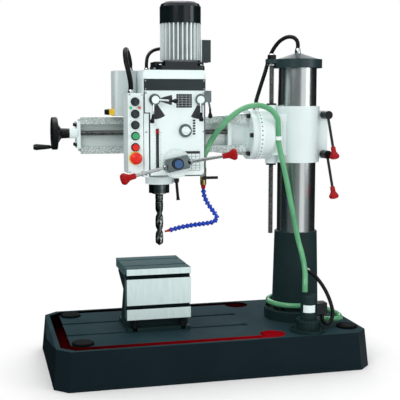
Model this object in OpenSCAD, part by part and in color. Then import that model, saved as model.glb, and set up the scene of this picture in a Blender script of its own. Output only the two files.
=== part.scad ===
// Radial arm drill: floor base with T-slots, column, swivelling arm, travelling drill head.
// Frame: +X runs from the free end of the arm towards the column, +Y away from the operator,
// +Z up. The origin is the centre of the base on the floor. Sizes are in millimetres.

/* [Base] */
// Length of the base at its top
base_len = 1120; // [1000:10:1300]
// Depth of the base at its top
base_dep = 588; // [540:4:700]
// Height of the base
base_h = 135; // [110:5:180]
// Corner chamfer of the base
base_corner = 46; // [30:1:60]
// How far the foot of the base flares out on each side
base_draft = 12; // [4:1:20]
// Wall of the base casting around its coolant tank
base_wall = 20; // [14:1:28]
// Thickness of the working deck
deck_t = 45; // [40:1:60]
// Width of the rim outside the coolant gutter
lip_w = 16; // [12:1:24]
// Width of the coolant gutter
gutter_w = 36; // [24:1:44]
// Depth of the coolant gutter
gutter_depth = 12; // [6:1:16]
// Diameter of the drain wells at the ends of the gutter
well_d = 92; // [70:1:110]
// Distance of the drain wells from the middle of the base
well_x = 211; // [160:1:220]
// Distance between the two T-slots of the deck
slot_pitch = 164; // [140:2:200]
// Width of the neck of a T-slot
slot_w = 18; // [14:1:22]
// Right end of the T-slots
slot_end_x = 148; // [120:1:180]
// Anchor holes left of the middle
anchor_left = 465; // [440:1:480]
// Anchor holes right of the middle
anchor_right = 508; // [480:1:520]
// Distance of the anchor holes from the centre line
anchor_y = 205; // [195:1:210]
// Diameter of an anchor hole
anchor_d = 18; // [14:1:22]
// Diameter of the rubber cap over an anchor hole
cap_d = 76; // [60:1:80]

/* [Box table] */
// Width of the box table
table_w = 236; // [200:2:260]
// Depth of the top plate of the box table
table_dep = 250; // [230:2:290]
// Height of the box table
table_h = 231; // [200:1:240]
// Middle of the box table along the base
table_x = -176; // [-190:1:-160]
// Front face of the box table
table_front = -97; // [-104:1:-94]
// Width of the T-slots of the box table
table_slot_w = 14; // [10:1:16]

/* [Column] */
// Distance of the column from the middle of the base
column_x = 379; // [360:1:390]
// Diameter of the column
column_d = 145; // [130:1:150]
// Bore of the column
column_bore = 100; // [80:1:104]
// Height of the top of the column
column_top = 1100; // [1095:1:1110]
// Height of the top of the pedestal
pedestal_top = 472; // [440:1:480]
// Diameter of the pedestal at its top
pedestal_top_d = 162; // [158:1:170]
// Diameter of the pedestal at its foot
pedestal_foot_d = 177; // [172:1:182]
// Diameter of the foot flange
foot_flange_d = 236; // [226:1:242]
// Thickness of the foot flange
foot_flange_t = 40; // [30:1:44]
// Diameter of the lift screw
lift_screw_d = 19; // [16:1:22]
// Distance of the lift screw from the column axis
lift_screw_off = 102; // [101:1:104]
// Height of the free lower end of the lift screw
lift_screw_low = 464; // [440:1:500]

/* [Arm] */
// Height of the arm axis at rest
arm_z = 840; // [830:1:850]
// Height of the arm sleeve
sleeve_h = 210; // [200:1:220]
// Diameter of the arm sleeve
sleeve_d = 170; // [164:1:176]
// Diameter of the swivel flange
swivel_d = 184; // [180:1:188]
// Left face of the fixed half of the swivel flange
swivel_x = 200; // [196:1:202]
// Thickness of the moving half of the swivel flange
swivel_t = 20; // [16:1:22]
// Free end of the arm
arm_end_x = -446; // [-470:1:-440]
// Height of the guide rail
rail_h = 129; // [120:1:134]
// Diameter of the traverse screw
traverse_d = 18; // [14:1:20]
// Diameter of the traverse handwheel
wheel_d = 114; // [100:1:120]

/* [Head] */
// Width of the drill head
head_w = 218; // [210:1:222]
// Left side of the drill head at rest
head_x = -252; // [-256:1:-248]
// Front of the head casting
head_front = -214; // [-220:1:-210]
// Height of the head casting
head_h = 333; // [325:1:340]
// Bottom of the head casting
head_z = 706; // [700:1:710]
// Wall of the head casting
head_wall = 12; // [8:1:14]
// Height of the top cover
cover_h = 30; // [24:1:36]
// Spindle axis from the left side of the head
spindle_off = 69; // [66:1:72]
// Spindle axis along Y
spindle_y = -140; // [-142:1:-138]
// Diameter of the quill
quill_d = 72; // [70:1:74]
// Stroke of the quill
quill_stroke = 125; // [110:1:126]
// Diameter of the twist drill
drill_d = 27.6; // [16:0.2:28]
// Length of the twist drill below the spindle
drill_len = 184; // [120:1:200]
// Motor axis from the left side of the head
motor_off = 147; // [146:1:149]
// Diameter of the motor over its fins
motor_d = 142; // [130:1:146]
// Length of the finned motor body
motor_len = 131; // [110:1:150]
// Height of the motor cowl
cowl_h = 75; // [60:1:90]
// Diameter of the head of a push button
button_d = 22; // [18:1:24]
// Diameter of the emergency stop mushroom
mushroom_d = 40; // [34:1:42]
// Length of a feed lever from the hub axis to the end of its knob
feed_lever_len = 208; // [190:1:215]

/* [Hidden] */
$fn = 64;
// Radial running clearance, flat sliding gap and plain clearance
fit_run = 0.05;
fit_slide = 0.3;
fit_clear = 0.5;

// Base values
deck_z = base_h;
tank_floor = 12;
slot_y = slot_pitch / 2;
slot_neck = 16;
slot_head_w = slot_w + 12;
slot_head_t = 14;
slot_start_x = -base_len / 2 + lip_w + gutter_w;
well_y = base_dep / 2 - lip_w - well_d / 2;
strainer_t = 4;
anchor_boss_d = 56;
anchor_pocket_d = 40;
anchor_pocket_h = 30;
cap_h = 9;
cap_wall = 2.5;
lift_hole_d = 34;
lift_hole_y = 150;
lift_hole_z = 55;
lift_hole_depth = 14;
anchors = [for (x = [-anchor_left, anchor_right], y = [-anchor_y, anchor_y]) [x, y]];

// Box table values
table_left = table_x - table_w / 2;
table_right = table_x + table_w / 2;
table_top = deck_z + table_h;
table_back = table_front + table_dep;
plate_t = 32;
web_t = 46;
foot_t = 14;
foot_back = slot_y + 18;
skirt_z = deck_z + 45;
table_slot_head = table_slot_w + 10;
table_slot_neck = 9;
table_slot_deep = 18;
table_slots_y = [table_front + 70, table_back - 62];
table_slots_z = [table_top - 30, deck_z + 91];
table_bolt_inset = 29;
table_bolt_d = 14;

// Column values
column_r = column_d / 2;
column_low = deck_z + 12;
bearing_t = 8;
cap_ring_r = column_r + 19.5;
cap_low = column_top - 13;
cap_ceiling = column_top + bearing_t + fit_run;
cap_top = cap_ceiling + 11;
cap_peak = cap_top + 22;
cap_arm_w = 48;
cap_arm_t = 16;
spigot_h = 20;
gland_h = 20;
gland_r = 12;
screw_x = column_x - lift_screw_off;
screw_r = lift_screw_d / 2;
screw_collar_r = screw_r + 7;
screw_collar_t = 8;
screw_head_r = 17;
screw_head_h = 16;
foot_bolt_count = 6;
foot_bolt_r = (pedestal_foot_d + foot_flange_d) / 4;
foot_bolt_turn = 218;
pedestal_gland = [389, 330];
pedestal_gland_front = -104;

// Pump values
pump_x = 350;
pump_y = -222;
pump_foot_r = 65;
pump_foot_h = 44;
pump_barrel_r = 45;
pump_body_r = 29;
pump_top = 268;
outlet_x = -12;
outlet_y = 6;
hose_d = 20;
outlet_h = 10;
pump_box_x = 404;
pump_box_low = 198;
pump_gland_low = 188;
drain_port_y = -185;
drain_port_z = 164;
drain_port_x = 410;

// Arm sleeve values
sleeve_low = arm_z - sleeve_h / 2;
sleeve_top = arm_z + sleeve_h / 2;
sleeve_r = sleeve_d / 2;
swivel_r = swivel_d / 2;
swivel_back = swivel_x + 62;
ring_w = 24;
ring_step = 4;
pivot_r = 45;
pivot_len = 10;
groove_r = 80;
groove_w = 11;
groove_deep = 20;
swivel_bolt_r = 5;
nut_r = 15;
nut_flange_r = 19;
nut_flange_t = 6;
screw_boss_r = 22;
lug_x = column_x + 76;
lug_end = column_x + 112;
lug_w = 64;
lug_gap = 5;
clamp_x = column_x + 96;
clamp_z = [arm_z + 72, arm_z - 76];
clamp_r = 7;
clamp_hub_r = 15.5;
clamp_hub_len = 50;
clamp_rod = [9, -34, -118];
clamp_knob_len = 46;
clamp_knob_r = 18;
clip_z = 828;
clip_x = 276;
clip_y = -86;
clip_h = 14;
sleeve_gland_x = 232;
sleeve_gland_y = 50;
sleeve_gland_z = 946;
sleeve_boss_shift = 8;

// Arm values
rail_z = arm_z + 3.5;
rail_front = -60;
rail_back = -30;
rail_slope = 18;
rail_low = rail_z - rail_h / 2;
rail_top = rail_z + rail_h / 2;
rail_end = 160;
rail_band = 24.5;
rail_recess = 26;
beam_back = 28;
beam_root_h = 158;
beam_end_h = 114;
traverse_y = -47;
traverse_z = arm_z + 12;
traverse_r = traverse_d / 2;
rib_x = 90;
rib_t = 14;
journal_r = 10;
end_plate_t = 12;
boss_len = 26;
wheel_hub_x = arm_end_x - end_plate_t - boss_len - 28;
bolt_angles = [for (i = [0:5]) i * 60];

// Head values
head_right = head_x + head_w;
head_top = head_z + head_h;
head_back = rail_front - fit_slide;
panel_t = 6;
panel_face = head_front - panel_t;
lip_reach = 27;
lip_h = 28;
spindle_x = head_x + spindle_off;
quill_r = quill_d / 2;
barrel_r = quill_r + 12;
quill_low = head_z - 61;
quill_top = head_z + 199;
barrel_top = head_z + 254;
pinion_r = 12;
rack_depth = 5.3;
feed_x = spindle_x + quill_r - rack_depth + pinion_r + 1.3;
feed_z = head_z + 46;
pinion_w = 24;
feed_ball_at = 46;
feed_knob_len = 52;
feed_knob_r = 20;
hub_out = 34;
feed_block_r = 44;
feed_block_h = 46;
feed_block_tilt = 11.5;
feed_boss_r = 20;
rack_pitch = 2 * PI * pinion_r / 12;
pointer_x = spindle_x - 21;
pointer_z = head_z + 155;
pointer_w = 8;
spindle_r = 13;
nose_r = 24;
spline_r = 11;
socket_deep = 30;
bearing_up = 46;
bearing_h = 20;
drill_tip = drill_d * 0.3;
gear_z = head_z + 279;
gear_t = 20;
gear_hub_r = 22;
tooth_share = 0.42;
tooth_root = 5;
tooth_tip = 0.5;
motor_x = head_x + motor_off;
motor_r = motor_d / 2;
gear_span = motor_off - spindle_off;
spindle_teeth = 34;
motor_teeth = 18;
gear_r = gear_span * spindle_teeth / (spindle_teeth + motor_teeth) - fit_slide;
motor_gear_r = gear_span - gear_r - 2 * fit_slide;
motor_shaft_r = 9;
cover_top = head_top + cover_h;
flange_w = 170;
flange_x = motor_x - 13;
flange_dep = 148;
flange_t = 29;
motor_low = cover_top + flange_t;
fin_count = 28;
fin_t = 4;
fin_h = 9;
terminal_w = 30;
terminal_dep = 70;
terminal_h = 76;
collar_low = head_z - 29;
collar_r = 48;
seal_t = 4;
lock_half = 16;
lock_x = spindle_x + collar_r + 9;
lock_z = (collar_low + head_z - seal_t) / 2;
lock_shaft_r = 4;

// Levers of the front panel and the side lever
lever_left = [head_x + 37, head_z + 263];
lever_right = [head_x + 197, head_z + 263];
feed_spot = [head_x + 144, head_z + 158];
lever_spots = [lever_left, lever_right, feed_spot];
lever_shaft_r = 7;
inner_shaft_r = 4;
lever_disc_r = 20;
upper_lever_out = 12.5;
side_y = -160;
side_z = head_z + 274;
side_shaft_r = 6;
plate_proud = 1;
speed_plate = [head_x + 114, head_z + 236];
speed_plate_w = 54;
speed_plate_h = 46;
feed_tilt = [[-0.96, -0.16, -0.23], [0.97, -0.16, 0.16]];

// Traverse nut in the back of the head
nut_x = head_x + 112;
nut_len = 46;
nut_low = traverse_z - 18;
nut_high = traverse_z + 18;

// Electrical values
box_left = head_x - 52;
box_low = head_z + 14;
box_drop = 48;
box_high = head_top - box_drop;
box_front = panel_face + 8;
box_back = box_front + 94;
box_wall = 4;
lid_t = 6;
lid_face = box_front - lid_t;
button_x = head_x - 28;
button_zs = [head_z + 215, head_z + 178, head_z + 141, head_z + 103];
selector_z = head_z + 256;
lamp_z = head_z + 236;
stop_z = head_z + 66;
button_travel = 4;
bezel_r = button_d / 2 + 3.5;
rear_left = head_x - 79;
rear_low = rail_top + 4;
rear_high = cover_top;
rear_front = -112;
rear_back = -8;
rear_wall = 5;
switch_t = 18;
switch_y = -76;
switch_z = rear_low + 14;

// Coolant tap values
tap_x = head_right + 14;
tap_y = -128;
tap_r = 11;
tap_low = head_z - 38;
tap_top = head_z + 22;

// Routes of the cords, hand-chosen points
coolant_route = [
    [338, -216, 278], [338, -216, 300], [345, -197, 336], [354, -160, 372], [356, -126, 410],
    [350, -108, 450], [342, -102, 496], [330, -100, 556], [317, -99, 616], [304, -98, 680],
    [290, -94, 744], [279, -88, 796], [276, -86, 821], [276, -86, 835], [274, -88, 870],
    [268, -92, 904], [246, -84, 932], [206, -78, 948], [162, -78, 944], [124, -82, 928],
    [88, -84, 902], [54, -84, 866], [24, -86, 828], [2, -96, 790], [-14, -114, 766],
    [-20, -128, 746], [-20, -128, 728]];
drain_route = [
    [378, 100, 198], [360, 100, 198], [320, 85, 198], [290, 52, 198], [276, 0, 198], [290, -52, 198],
    [320, -85, 198], [365, -101, 198], [404, -104, 199], [444, -102, 190], [480, -112, 176],
    [502, -134, 166], [500, -162, 160], [474, -182, 162], [432, -185, 164], [410, -185, 164]];
pump_route = [
    [404, -222, 188], [404, -222, 176], [409, -222, 163], [422, -221, 155], [440, -217, 164],
    [451, -207, 190], [450, -190, 222], [441, -168, 260], [424, -144, 296], [404, -124, 322],
    [389, -114, 330], [389, -104, 330]];
supply_route = [
    [379, 0, 1161], [379, 0, 1180], [370, 6, 1198], [348, 20, 1204], [322, 36, 1190],
    [300, 52, 1158], [284, 60, 1116], [270, 60, 1070], [252, 56, 1020], [238, 52, 980],
    [232, 50, 961], [232, 50, 946]];
conduit_route = [
    [-284, -160, 1003], [-284, -160, 1020], [-289, -157, 1056], [-297, -146, 1098], [-296, -122, 1132],
    [-286, -88, 1142], [-273, -52, 1124], [-264, -30, 1098], [-264, -30, 1081]];
motor_route = [
    [-216, -92, 1080], [-216, -92, 1096], [-208, -78, 1122], [-184, -56, 1142], [-148, -46, 1150],
    [-104, -44, 1150], [-62, -48, 1148], [-32, -60, 1142], [-20, -80, 1140], [-20, -96, 1140]];
line_route = [
    [-20, -128, 654], [-17, -129, 630], [-8, -133, 606], [4, -139, 586], [16, -146, 568],
    [23, -150, 556], [23, -150, 545], [14, -150, 537], [0, -150, 533], [-30, -150, 530],
    [-70, -150, 526], [-110, -150, 520], [-140, -149, 513]];
seg_len = 14;
seg_gap = 0.9;
seg_count = floor(route_len(line_route) / (seg_len + seg_gap));

// Helpers: a box between two corners, and cylinders along the three axes
module block(low, high) {
    translate(low) cube(high - low);
}

module along_x(from, r, h) {
    translate(from) rotate([0, 90, 0]) cylinder(r = r, h = h);
}

module along_y(from, r, h) {
    translate(from) rotate([-90, 0, 0]) cylinder(r = r, h = h);
}

module upright(from, r, h) {
    translate(from) cylinder(r = r, h = h);
}

// Rectangle with round corners between two corners
module round_rect(low, high, r) {
    translate([low[0] + r, low[1]]) square([high[0] - low[0] - 2 * r, high[1] - low[1]]);
    translate([low[0], low[1] + r]) square([high[0] - low[0], high[1] - low[1] - 2 * r]);
    for (x = [low[0] + r, high[0] - r], y = [low[1] + r, high[1] - r]) translate([x, y]) circle(r = r);
}

// Box with round upright edges
module round_box(low, high, r) {
    translate([0, 0, low[2]]) linear_extrude(high[2] - low[2]) round_rect(low, high, r);
}

// Outline of a rectangle with chamfered corners
module chamfered(l, w, c) {
    x = l / 2;
    y = w / 2;
    polygon([[c - x, -y], [x - c, -y], [x, c - y], [x, y - c], [x - c, y], [c - x, y], [-x, y - c],
        [-x, c - y]]);
}

// Block whose sides flare out towards the floor
module drafted(l, w, c, low, high, flare) {
    skin = 0.01;
    hull() {
        translate([0, 0, low]) linear_extrude(skin) chamfered(l + 2 * flare, w + 2 * flare, c);
        translate([0, 0, high - skin]) linear_extrude(skin) chamfered(l, w, c);
    }
}

// Hexagon head with its washer, standing on z = 0
module hex_head(d, h) {
    cylinder(r = d * 1.1, h = h * 0.25);
    translate([0, 0, h * 0.25]) cylinder(r = d, h = h * 0.75, $fn = 6);
}

// Cable gland standing on z = 0: flange, hexagon and rounded nut
module gland(r, h) {
    cylinder(r = r, h = h * 0.2);
    translate([0, 0, h * 0.2]) cylinder(r = r * 0.95, h = h * 0.35, $fn = 6);
    translate([0, 0, h * 0.55]) cylinder(r1 = r * 0.9, r2 = r * 0.75, h = h * 0.45);
}

// Tube swept along points, its end faces square to the first and last stretch
function unit(v) = v / norm(v);
function tangent(p, i) = unit(p[min(i + 1, len(p) - 1)] - p[max(i - 1, 0)]);
function sideways(t) = abs(t[2]) > 0.9 ? unit(cross(t, [1, 0, 0])) : unit(cross(t, [0, 0, 1]));
function carried(n, t) = unit(n - (n * t) * t);
function sides_of(p, i = 0, found = []) =
    i == len(p) ? found :
    sides_of(p, i + 1, concat(found, [i == 0 ? sideways(tangent(p, 0)) : carried(found[i - 1], tangent(p,
        i))]));

module cord(p, d, sides = 10) {
    n = sides_of(p);
    last = len(p) - 1;
    rings = [for (i = [0:last]) let (t = tangent(p, i), b = cross(t, n[i]))
        for (k = [0:sides - 1]) p[i] + d / 2 * (cos(360 * k / sides) * n[i] + sin(360 * k / sides) * b)];
    walls = [for (i = [0:last - 1], k = [0:sides - 1]) let (a = i * sides + k,
        b = i * sides + (k + 1) % sides)
        for (f = [[a, a + sides, b], [b, a + sides, b + sides]]) f];
    low = [for (k = [1:sides - 2]) [0, k, k + 1]];
    high = [for (k = [1:sides - 2]) [last * sides, last * sides + k + 1, last * sides + k]];
    polyhedron(points = rings, faces = concat(walls, low, high));
}

// Place at a distance along a route, and a shape set there with its axis along the route
function route_len(p, i = 0) = i >= len(p) - 1 ? 0 : norm(p[i + 1] - p[i]) + route_len(p, i + 1);
function route_at(p, s, i = 0) =
    let (step = norm(p[i + 1] - p[i]))
    s <= step || i == len(p) - 2 ? p[i] + (p[i + 1] - p[i]) * s / step : route_at(p, s - step, i + 1);

module set_along(from, to) {
    v = to - from;
    translate(from) rotate([0, acos(v[2] / norm(v)), atan2(v[1], v[0])]) children();
}

// Lever: hub, slanted rod and knob, each turned parts
module knob(r, h) rotate_extrude() polygon([
    [0, 0], [r * 0.48, 0], [r * 0.52, h * 0.4], [r * 0.8, h * 0.6], [r, h * 0.72], [r, h * 0.84],
    [r * 0.82, h * 0.95], [r * 0.4, h], [0, h]]);

module rod(from, to, r) {
    set_along(from, to) cylinder(r = r, h = norm(to - from));
}

module base_casting() color("#2f3d44") difference() {
    union() {
        difference() {
            drafted(base_len, base_dep, base_corner, 0, deck_z, base_draft);
            drafted(base_len - 2 * base_wall, base_dep - 2 * base_wall, base_corner,
                tank_floor, deck_z - deck_t, base_draft);
        }
        for (a = anchors) upright([a[0], a[1], 1], anchor_boss_d / 2, deck_z - deck_t);
    }
    translate([0, 0, deck_z - gutter_depth]) linear_extrude(gutter_depth + 1) difference() {
        chamfered(base_len - 2 * lip_w, base_dep - 2 * lip_w, base_corner);
        chamfered(base_len - 2 * lip_w - 2 * gutter_w, base_dep - 2 * lip_w - 2 * gutter_w,
            base_corner - gutter_w / 2);
        translate([well_x, -base_dep]) square([base_len, 2 * base_dep]);
    }
    for (y = [-well_y, well_y]) {
        upright([well_x, y, deck_z - gutter_depth], well_d / 2, gutter_depth + 1);
        upright([well_x, y, deck_z - 2 * gutter_depth], well_d / 2 - 8, gutter_depth + 1);
    }
    for (y = [-slot_y, slot_y]) t_slot(y);
    for (a = anchors) {
        upright([a[0], a[1], -1], anchor_d / 2, deck_z + 2);
        upright([a[0], a[1], deck_z - anchor_pocket_h], anchor_pocket_d / 2, anchor_pocket_h + 1);
    }
    for (y = [-lift_hole_y, lift_hole_y], end = [-1, 1])
        along_x([end * (base_len / 2 + base_draft) - lift_hole_depth, y, lift_hole_z], lift_hole_d / 2,
            2 * lift_hole_depth);
}

// T-slot of the deck: neck, head and the round pocket that lets a bolt in
module t_slot(y) {
    low = deck_z - slot_neck - slot_head_t;
    block([slot_start_x - 1, y - slot_w / 2, deck_z - slot_neck - 1],
        [slot_end_x, y + slot_w / 2, deck_z + 1]);
    block([slot_start_x - gutter_w, y - slot_head_w / 2, low],
        [slot_end_x, y + slot_head_w / 2, deck_z - slot_neck]);
    upright([slot_end_x, y, low], slot_head_w / 2, deck_z - low + 1);
}

module anchor_caps() color("#141618") for (a = anchors) translate([a[0], a[1], deck_z]) difference() {
    union() {
        cylinder(r = cap_d / 2, h = cap_h - 3);
        translate([0, 0, cap_h - 3]) cylinder(r1 = cap_d / 2, r2 = cap_d / 2 - 4, h = 3);
        translate([0, 0, -5]) cylinder(r = anchor_pocket_d / 2 - fit_run, h = 6);
    }
    translate([0, 0, -6]) cylinder(r = anchor_pocket_d / 2 - cap_wall, h = cap_h + 6 - cap_wall);
}

module drain_strainers() color("#b3121c") for (y = [-well_y, well_y])
    translate([well_x, y, deck_z - gutter_depth]) difference() {
    cylinder(r = well_d / 2 - fit_clear, h = strainer_t);
    for (ring = [1:3], i = [0:6 * ring - 1])
        rotate(i * 60 / ring) translate([ring * well_d / 9, 0, -1]) cylinder(r = 2.5, h = strainer_t + 2);
}

module pedestal() color("#27343a") {
    difference() {
        union() {
            upright([column_x, 0, deck_z], foot_flange_d / 2, foot_flange_t - 3);
            translate([column_x, 0, deck_z + foot_flange_t - 3])
                cylinder(r1 = foot_flange_d / 2, r2 = foot_flange_d / 2 - 3, h = 3);
            translate([column_x, 0, deck_z + foot_flange_t])
                cylinder(r1 = pedestal_foot_d / 2, r2 = pedestal_top_d / 2,
                h = pedestal_top - deck_z - foot_flange_t - 2);
            translate([column_x, 0, pedestal_top - 2])
                cylinder(r1 = pedestal_top_d / 2, r2 = pedestal_top_d / 2 - 2, h = 2);
            along_y([pedestal_gland[0], pedestal_gland_front, pedestal_gland[1]], gland_r, 40);
            along_x(drain_route[0], hose_d / 2 + 1.5, 26);
            along_y([drain_route[0][0] + 15, column_r, drain_route[0][2]], hose_d / 2,
                drain_route[0][1] - column_r);
        }
        upright([column_x, 0, column_low], column_r + fit_run, pedestal_top);
    }
    for (i = [0:foot_bolt_count - 1]) {
        turn = foot_bolt_turn + i * 360 / foot_bolt_count;
        translate([column_x + foot_bolt_r * cos(turn), foot_bolt_r * sin(turn), deck_z + foot_flange_t])
            hex_head(10, 12);
    }
}

module column() color("#c9ced2") difference() {
    union() {
        upright([column_x, 0, column_low], column_r, column_top - column_low - 2);
        translate([column_x, 0, column_top - 2]) cylinder(r1 = column_r, r2 = column_r - 2, h = 2);
    }
    upright([column_x, 0, column_low - 1], column_bore / 2, column_top);
}

module thrust_bearing() color("#8d949a") difference() {
    upright([column_x, 0, column_top], column_r - 3, bearing_t);
    upright([column_x, 0, column_top - 1], column_bore / 2 + 2, bearing_t + 2);
}

module coolant_pump() color("#20292e") {
    difference() {
        union() {
            upright([pump_x, pump_y, deck_z], pump_foot_r, 8);
            upright([pump_x, pump_y, deck_z + 7], pump_barrel_r - 5, pump_foot_h - 14);
            upright([pump_x, pump_y, deck_z + pump_foot_h - 8], pump_barrel_r, 8);
            upright([pump_x, pump_y, deck_z + pump_foot_h], pump_body_r,
                pump_top - deck_z - pump_foot_h - 6);
            translate([pump_x, pump_y, pump_top - 6])
                cylinder(r1 = pump_body_r, r2 = pump_body_r - 2, h = 6);
            for (i = [0:11]) rotate_about(pump_x, pump_y, i * 30)
                block([pump_x + pump_barrel_r - 8, pump_y - 2, deck_z + 4],
                    [pump_x + pump_barrel_r - 2, pump_y + 2, deck_z + pump_foot_h - 4]);
            along_x([pump_x + 6, drain_port_y, drain_port_z], hose_d / 2 + 2, drain_port_x - pump_x - 6);
            upright([pump_x + outlet_x, pump_y + outlet_y, pump_top - 8], hose_d / 2 + 2, outlet_h + 8);
            round_box([pump_x + pump_body_r - 6, pump_y - 22, pump_box_low],
                [pump_box_x + 11, pump_y + 22, pump_box_low + 40], 4);
            upright([pump_box_x, pump_y, pump_gland_low], 9, pump_box_low - pump_gland_low + 1);
        }
        upright([pump_x, pump_y, deck_z - 1], 18, 60);
    }
    for (i = [0:7]) rotate_about(pump_x, pump_y, i * 45 + 22)
        translate([pump_x + pump_foot_r - 7, pump_y, deck_z + 8]) hex_head(4, 6);
}

module rotate_about(x, y, turn) {
    translate([x, y, 0]) rotate(turn) translate([-x, -y, 0]) children();
}

module pump_cable() color("#0d0e10") cord(pump_route, 14);

module drain_hose() color("#3f8f63") cord(drain_route, hose_d);

module coolant_hose() color("#3f8f63") cord(coolant_route, hose_d);

// Angle-section table: top plate with T-slots, front web with T-slots, foot with bolt notches
module box_table() color("#c3cbcd") difference() {
    union() {
        block([table_left, table_front, table_top - plate_t], [table_right, table_back, table_top]);
        block([table_left, table_front, skirt_z], [table_right, table_front + web_t, table_top]);
        block([table_left + 4, table_front + 36, deck_z],
            [table_right - 4, table_front + web_t + 24, skirt_z + 1]);
        block([table_left + 2, table_front, deck_z], [table_right - 2, foot_back, deck_z + foot_t]);
        for (x = [table_left + 4, table_x - 8, table_right - 20])
            translate([x, 0, 0]) rotate([90, 0, 90]) linear_extrude(16) polygon([
                [table_front + web_t - 1, deck_z + foot_t - 1], [foot_back - 42, deck_z + foot_t - 1],
                [foot_back - 42, deck_z + foot_t + 20],
                    [table_front + web_t + 60, table_top - plate_t - 60],
                [table_back - 30, table_top - plate_t - 14],
                [table_back - 30, table_top - plate_t + 1],
                    [table_front + web_t - 1, table_top - plate_t + 1]]);
    }
    for (y = table_slots_y) {
        block([table_left - 1, y - table_slot_w / 2, table_top - table_slot_deep],
            [table_right + 1, y + table_slot_w / 2, table_top + 1]);
        block([table_left - 1, y - table_slot_head / 2, table_top - table_slot_deep],
            [table_right + 1, y + table_slot_head / 2, table_top - table_slot_neck]);
    }
    for (z = table_slots_z) {
        block([table_left - 1, table_front - 1, z - table_slot_w / 2],
            [table_right + 1, table_front + table_slot_deep, z + table_slot_w / 2]);
        block([table_left - 1, table_front + table_slot_neck, z - table_slot_head / 2],
            [table_right + 1, table_front + table_slot_deep, z + table_slot_head / 2]);
    }
    for (x = [table_left + table_bolt_inset, table_right - table_bolt_inset], side = [-1, 1]) {
        upright([x, side * slot_y, deck_z - 1], table_bolt_d / 2 + 1, foot_t + 2);
        block([x - table_bolt_d / 2 - 1, side > 0 ? slot_y : table_front - 1, deck_z - 1],
            [x + table_bolt_d / 2 + 1, side > 0 ? foot_back + 1 : -slot_y, deck_z + foot_t + 1]);
    }
}

module table_bolts() color("#23282b")
    for (x = [table_left + table_bolt_inset, table_right - table_bolt_inset], y = [-slot_y, slot_y])
        translate([x, y, 0]) {
        head_low = deck_z - slot_neck - 10;
        translate([-7, 2 - slot_head_w / 2, head_low]) cube([14, slot_head_w - 4, 10 - fit_slide]);
        translate([0, 0, head_low + 9]) cylinder(r = table_bolt_d / 2, h = deck_z + foot_t - head_low - 8);
        translate([0, 0, deck_z + foot_t]) cylinder(r = table_bolt_d, h = 3);
        translate([0, 0, deck_z + foot_t + 3]) cylinder(r = table_bolt_d * 0.82, h = 11, $fn = 6);
        translate([0, 0, deck_z + foot_t + 14]) cylinder(r = table_bolt_d / 2, h = 7);
    }

module column_cap() {
    color("#2a3439") difference() {
        union() {
            upright([column_x, 0, cap_low], cap_ring_r, cap_top - cap_low);
            translate([column_x, 0, cap_top])
                cylinder(r1 = cap_ring_r - 8, r2 = gland_r + 4, h = cap_peak - cap_top);
            block([screw_x, -cap_arm_w / 2, cap_top - cap_arm_t],
                [column_x - cap_ring_r + 20, cap_arm_w / 2, cap_top]);
            upright([screw_x, 0, cap_top - cap_arm_t], cap_arm_w / 2, cap_arm_t);
        }
        difference() {
            upright([column_x, 0, cap_low - 1], column_r + fit_clear, cap_ceiling - cap_low + 1);
            upright([column_x, 0, cap_ceiling - spigot_h], column_bore / 2 - fit_run, spigot_h + 1);
        }
        upright([column_x, 0, cap_low - 20], column_bore / 2 - 8, cap_ceiling - cap_low + 20);
        upright([screw_x, 0, cap_low], screw_r + fit_run, 100);
        upright([screw_x, 0, cap_low - 1], screw_collar_r + fit_clear, cap_top - cap_arm_t - cap_low + 1);
    }
    color("#c9ced2") translate([column_x, 0, cap_peak]) gland(gland_r, gland_h);
}

module lift_screw() color("#9aa1a6") {
    upright([screw_x, 0, lift_screw_low], screw_r, cap_top - lift_screw_low + 20);
    upright([screw_x, 0, cap_top - cap_arm_t - screw_collar_t], screw_collar_r, screw_collar_t);
    translate([screw_x, 0, cap_top]) cylinder(r = screw_head_r, h = screw_head_h, $fn = 6);
}

module supply_cable() color("#0d0e10") cord(supply_route, 15);

module arm_sleeve() color("#dfe5e4") difference() {
    union() {
        upright([column_x, 0, sleeve_low], sleeve_r, sleeve_h);
        along_x([swivel_x, 0, arm_z], swivel_r - ring_step, swivel_back - swivel_x);
        along_x([swivel_x + ring_w, 0, arm_z], swivel_r, swivel_back - swivel_x - ring_w);
        block([swivel_back - 1, -58, arm_z - 76], [column_x, 58, arm_z + 76]);
        upright([screw_x, 0, sleeve_low - 4], screw_boss_r, sleeve_h + 8);
        block([lug_x, -lug_w / 2, arm_z - 92], [lug_end, lug_w / 2, arm_z + 88]);
        upright([sleeve_gland_x + sleeve_boss_shift, sleeve_gland_y, arm_z + 60], gland_r + 3,
            sleeve_gland_z - gland_h - arm_z - 60);
    }
    upright([column_x, 0, sleeve_low - 10], column_r + fit_run, sleeve_h + 20);
    upright([screw_x, 0, sleeve_low - 10], nut_r + fit_run, sleeve_h + 20);
    block([column_x + column_r - 10, -lug_gap / 2, sleeve_low - 1],
        [lug_end + 1, lug_gap / 2, sleeve_top + 1]);
    along_x([swivel_x - 1, 0, arm_z], pivot_r + fit_run, pivot_len + 2);
    difference() {
        along_x([swivel_x - 1, 0, arm_z], groove_r + groove_w / 2, groove_deep + 1);
        along_x([swivel_x - 2, 0, arm_z], groove_r - groove_w / 2, groove_deep + 4);
    }
    for (z = clamp_z) along_y([clamp_x, -lug_w, z], clamp_r + fit_run, 2 * lug_w);
}

module degree_ring() color("#eef1ee") difference() {
    along_x([swivel_x, 0, arm_z], swivel_r + 1, ring_w);
    along_x([swivel_x - 1, 0, arm_z], swivel_r - ring_step, ring_w + 2);
}

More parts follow.
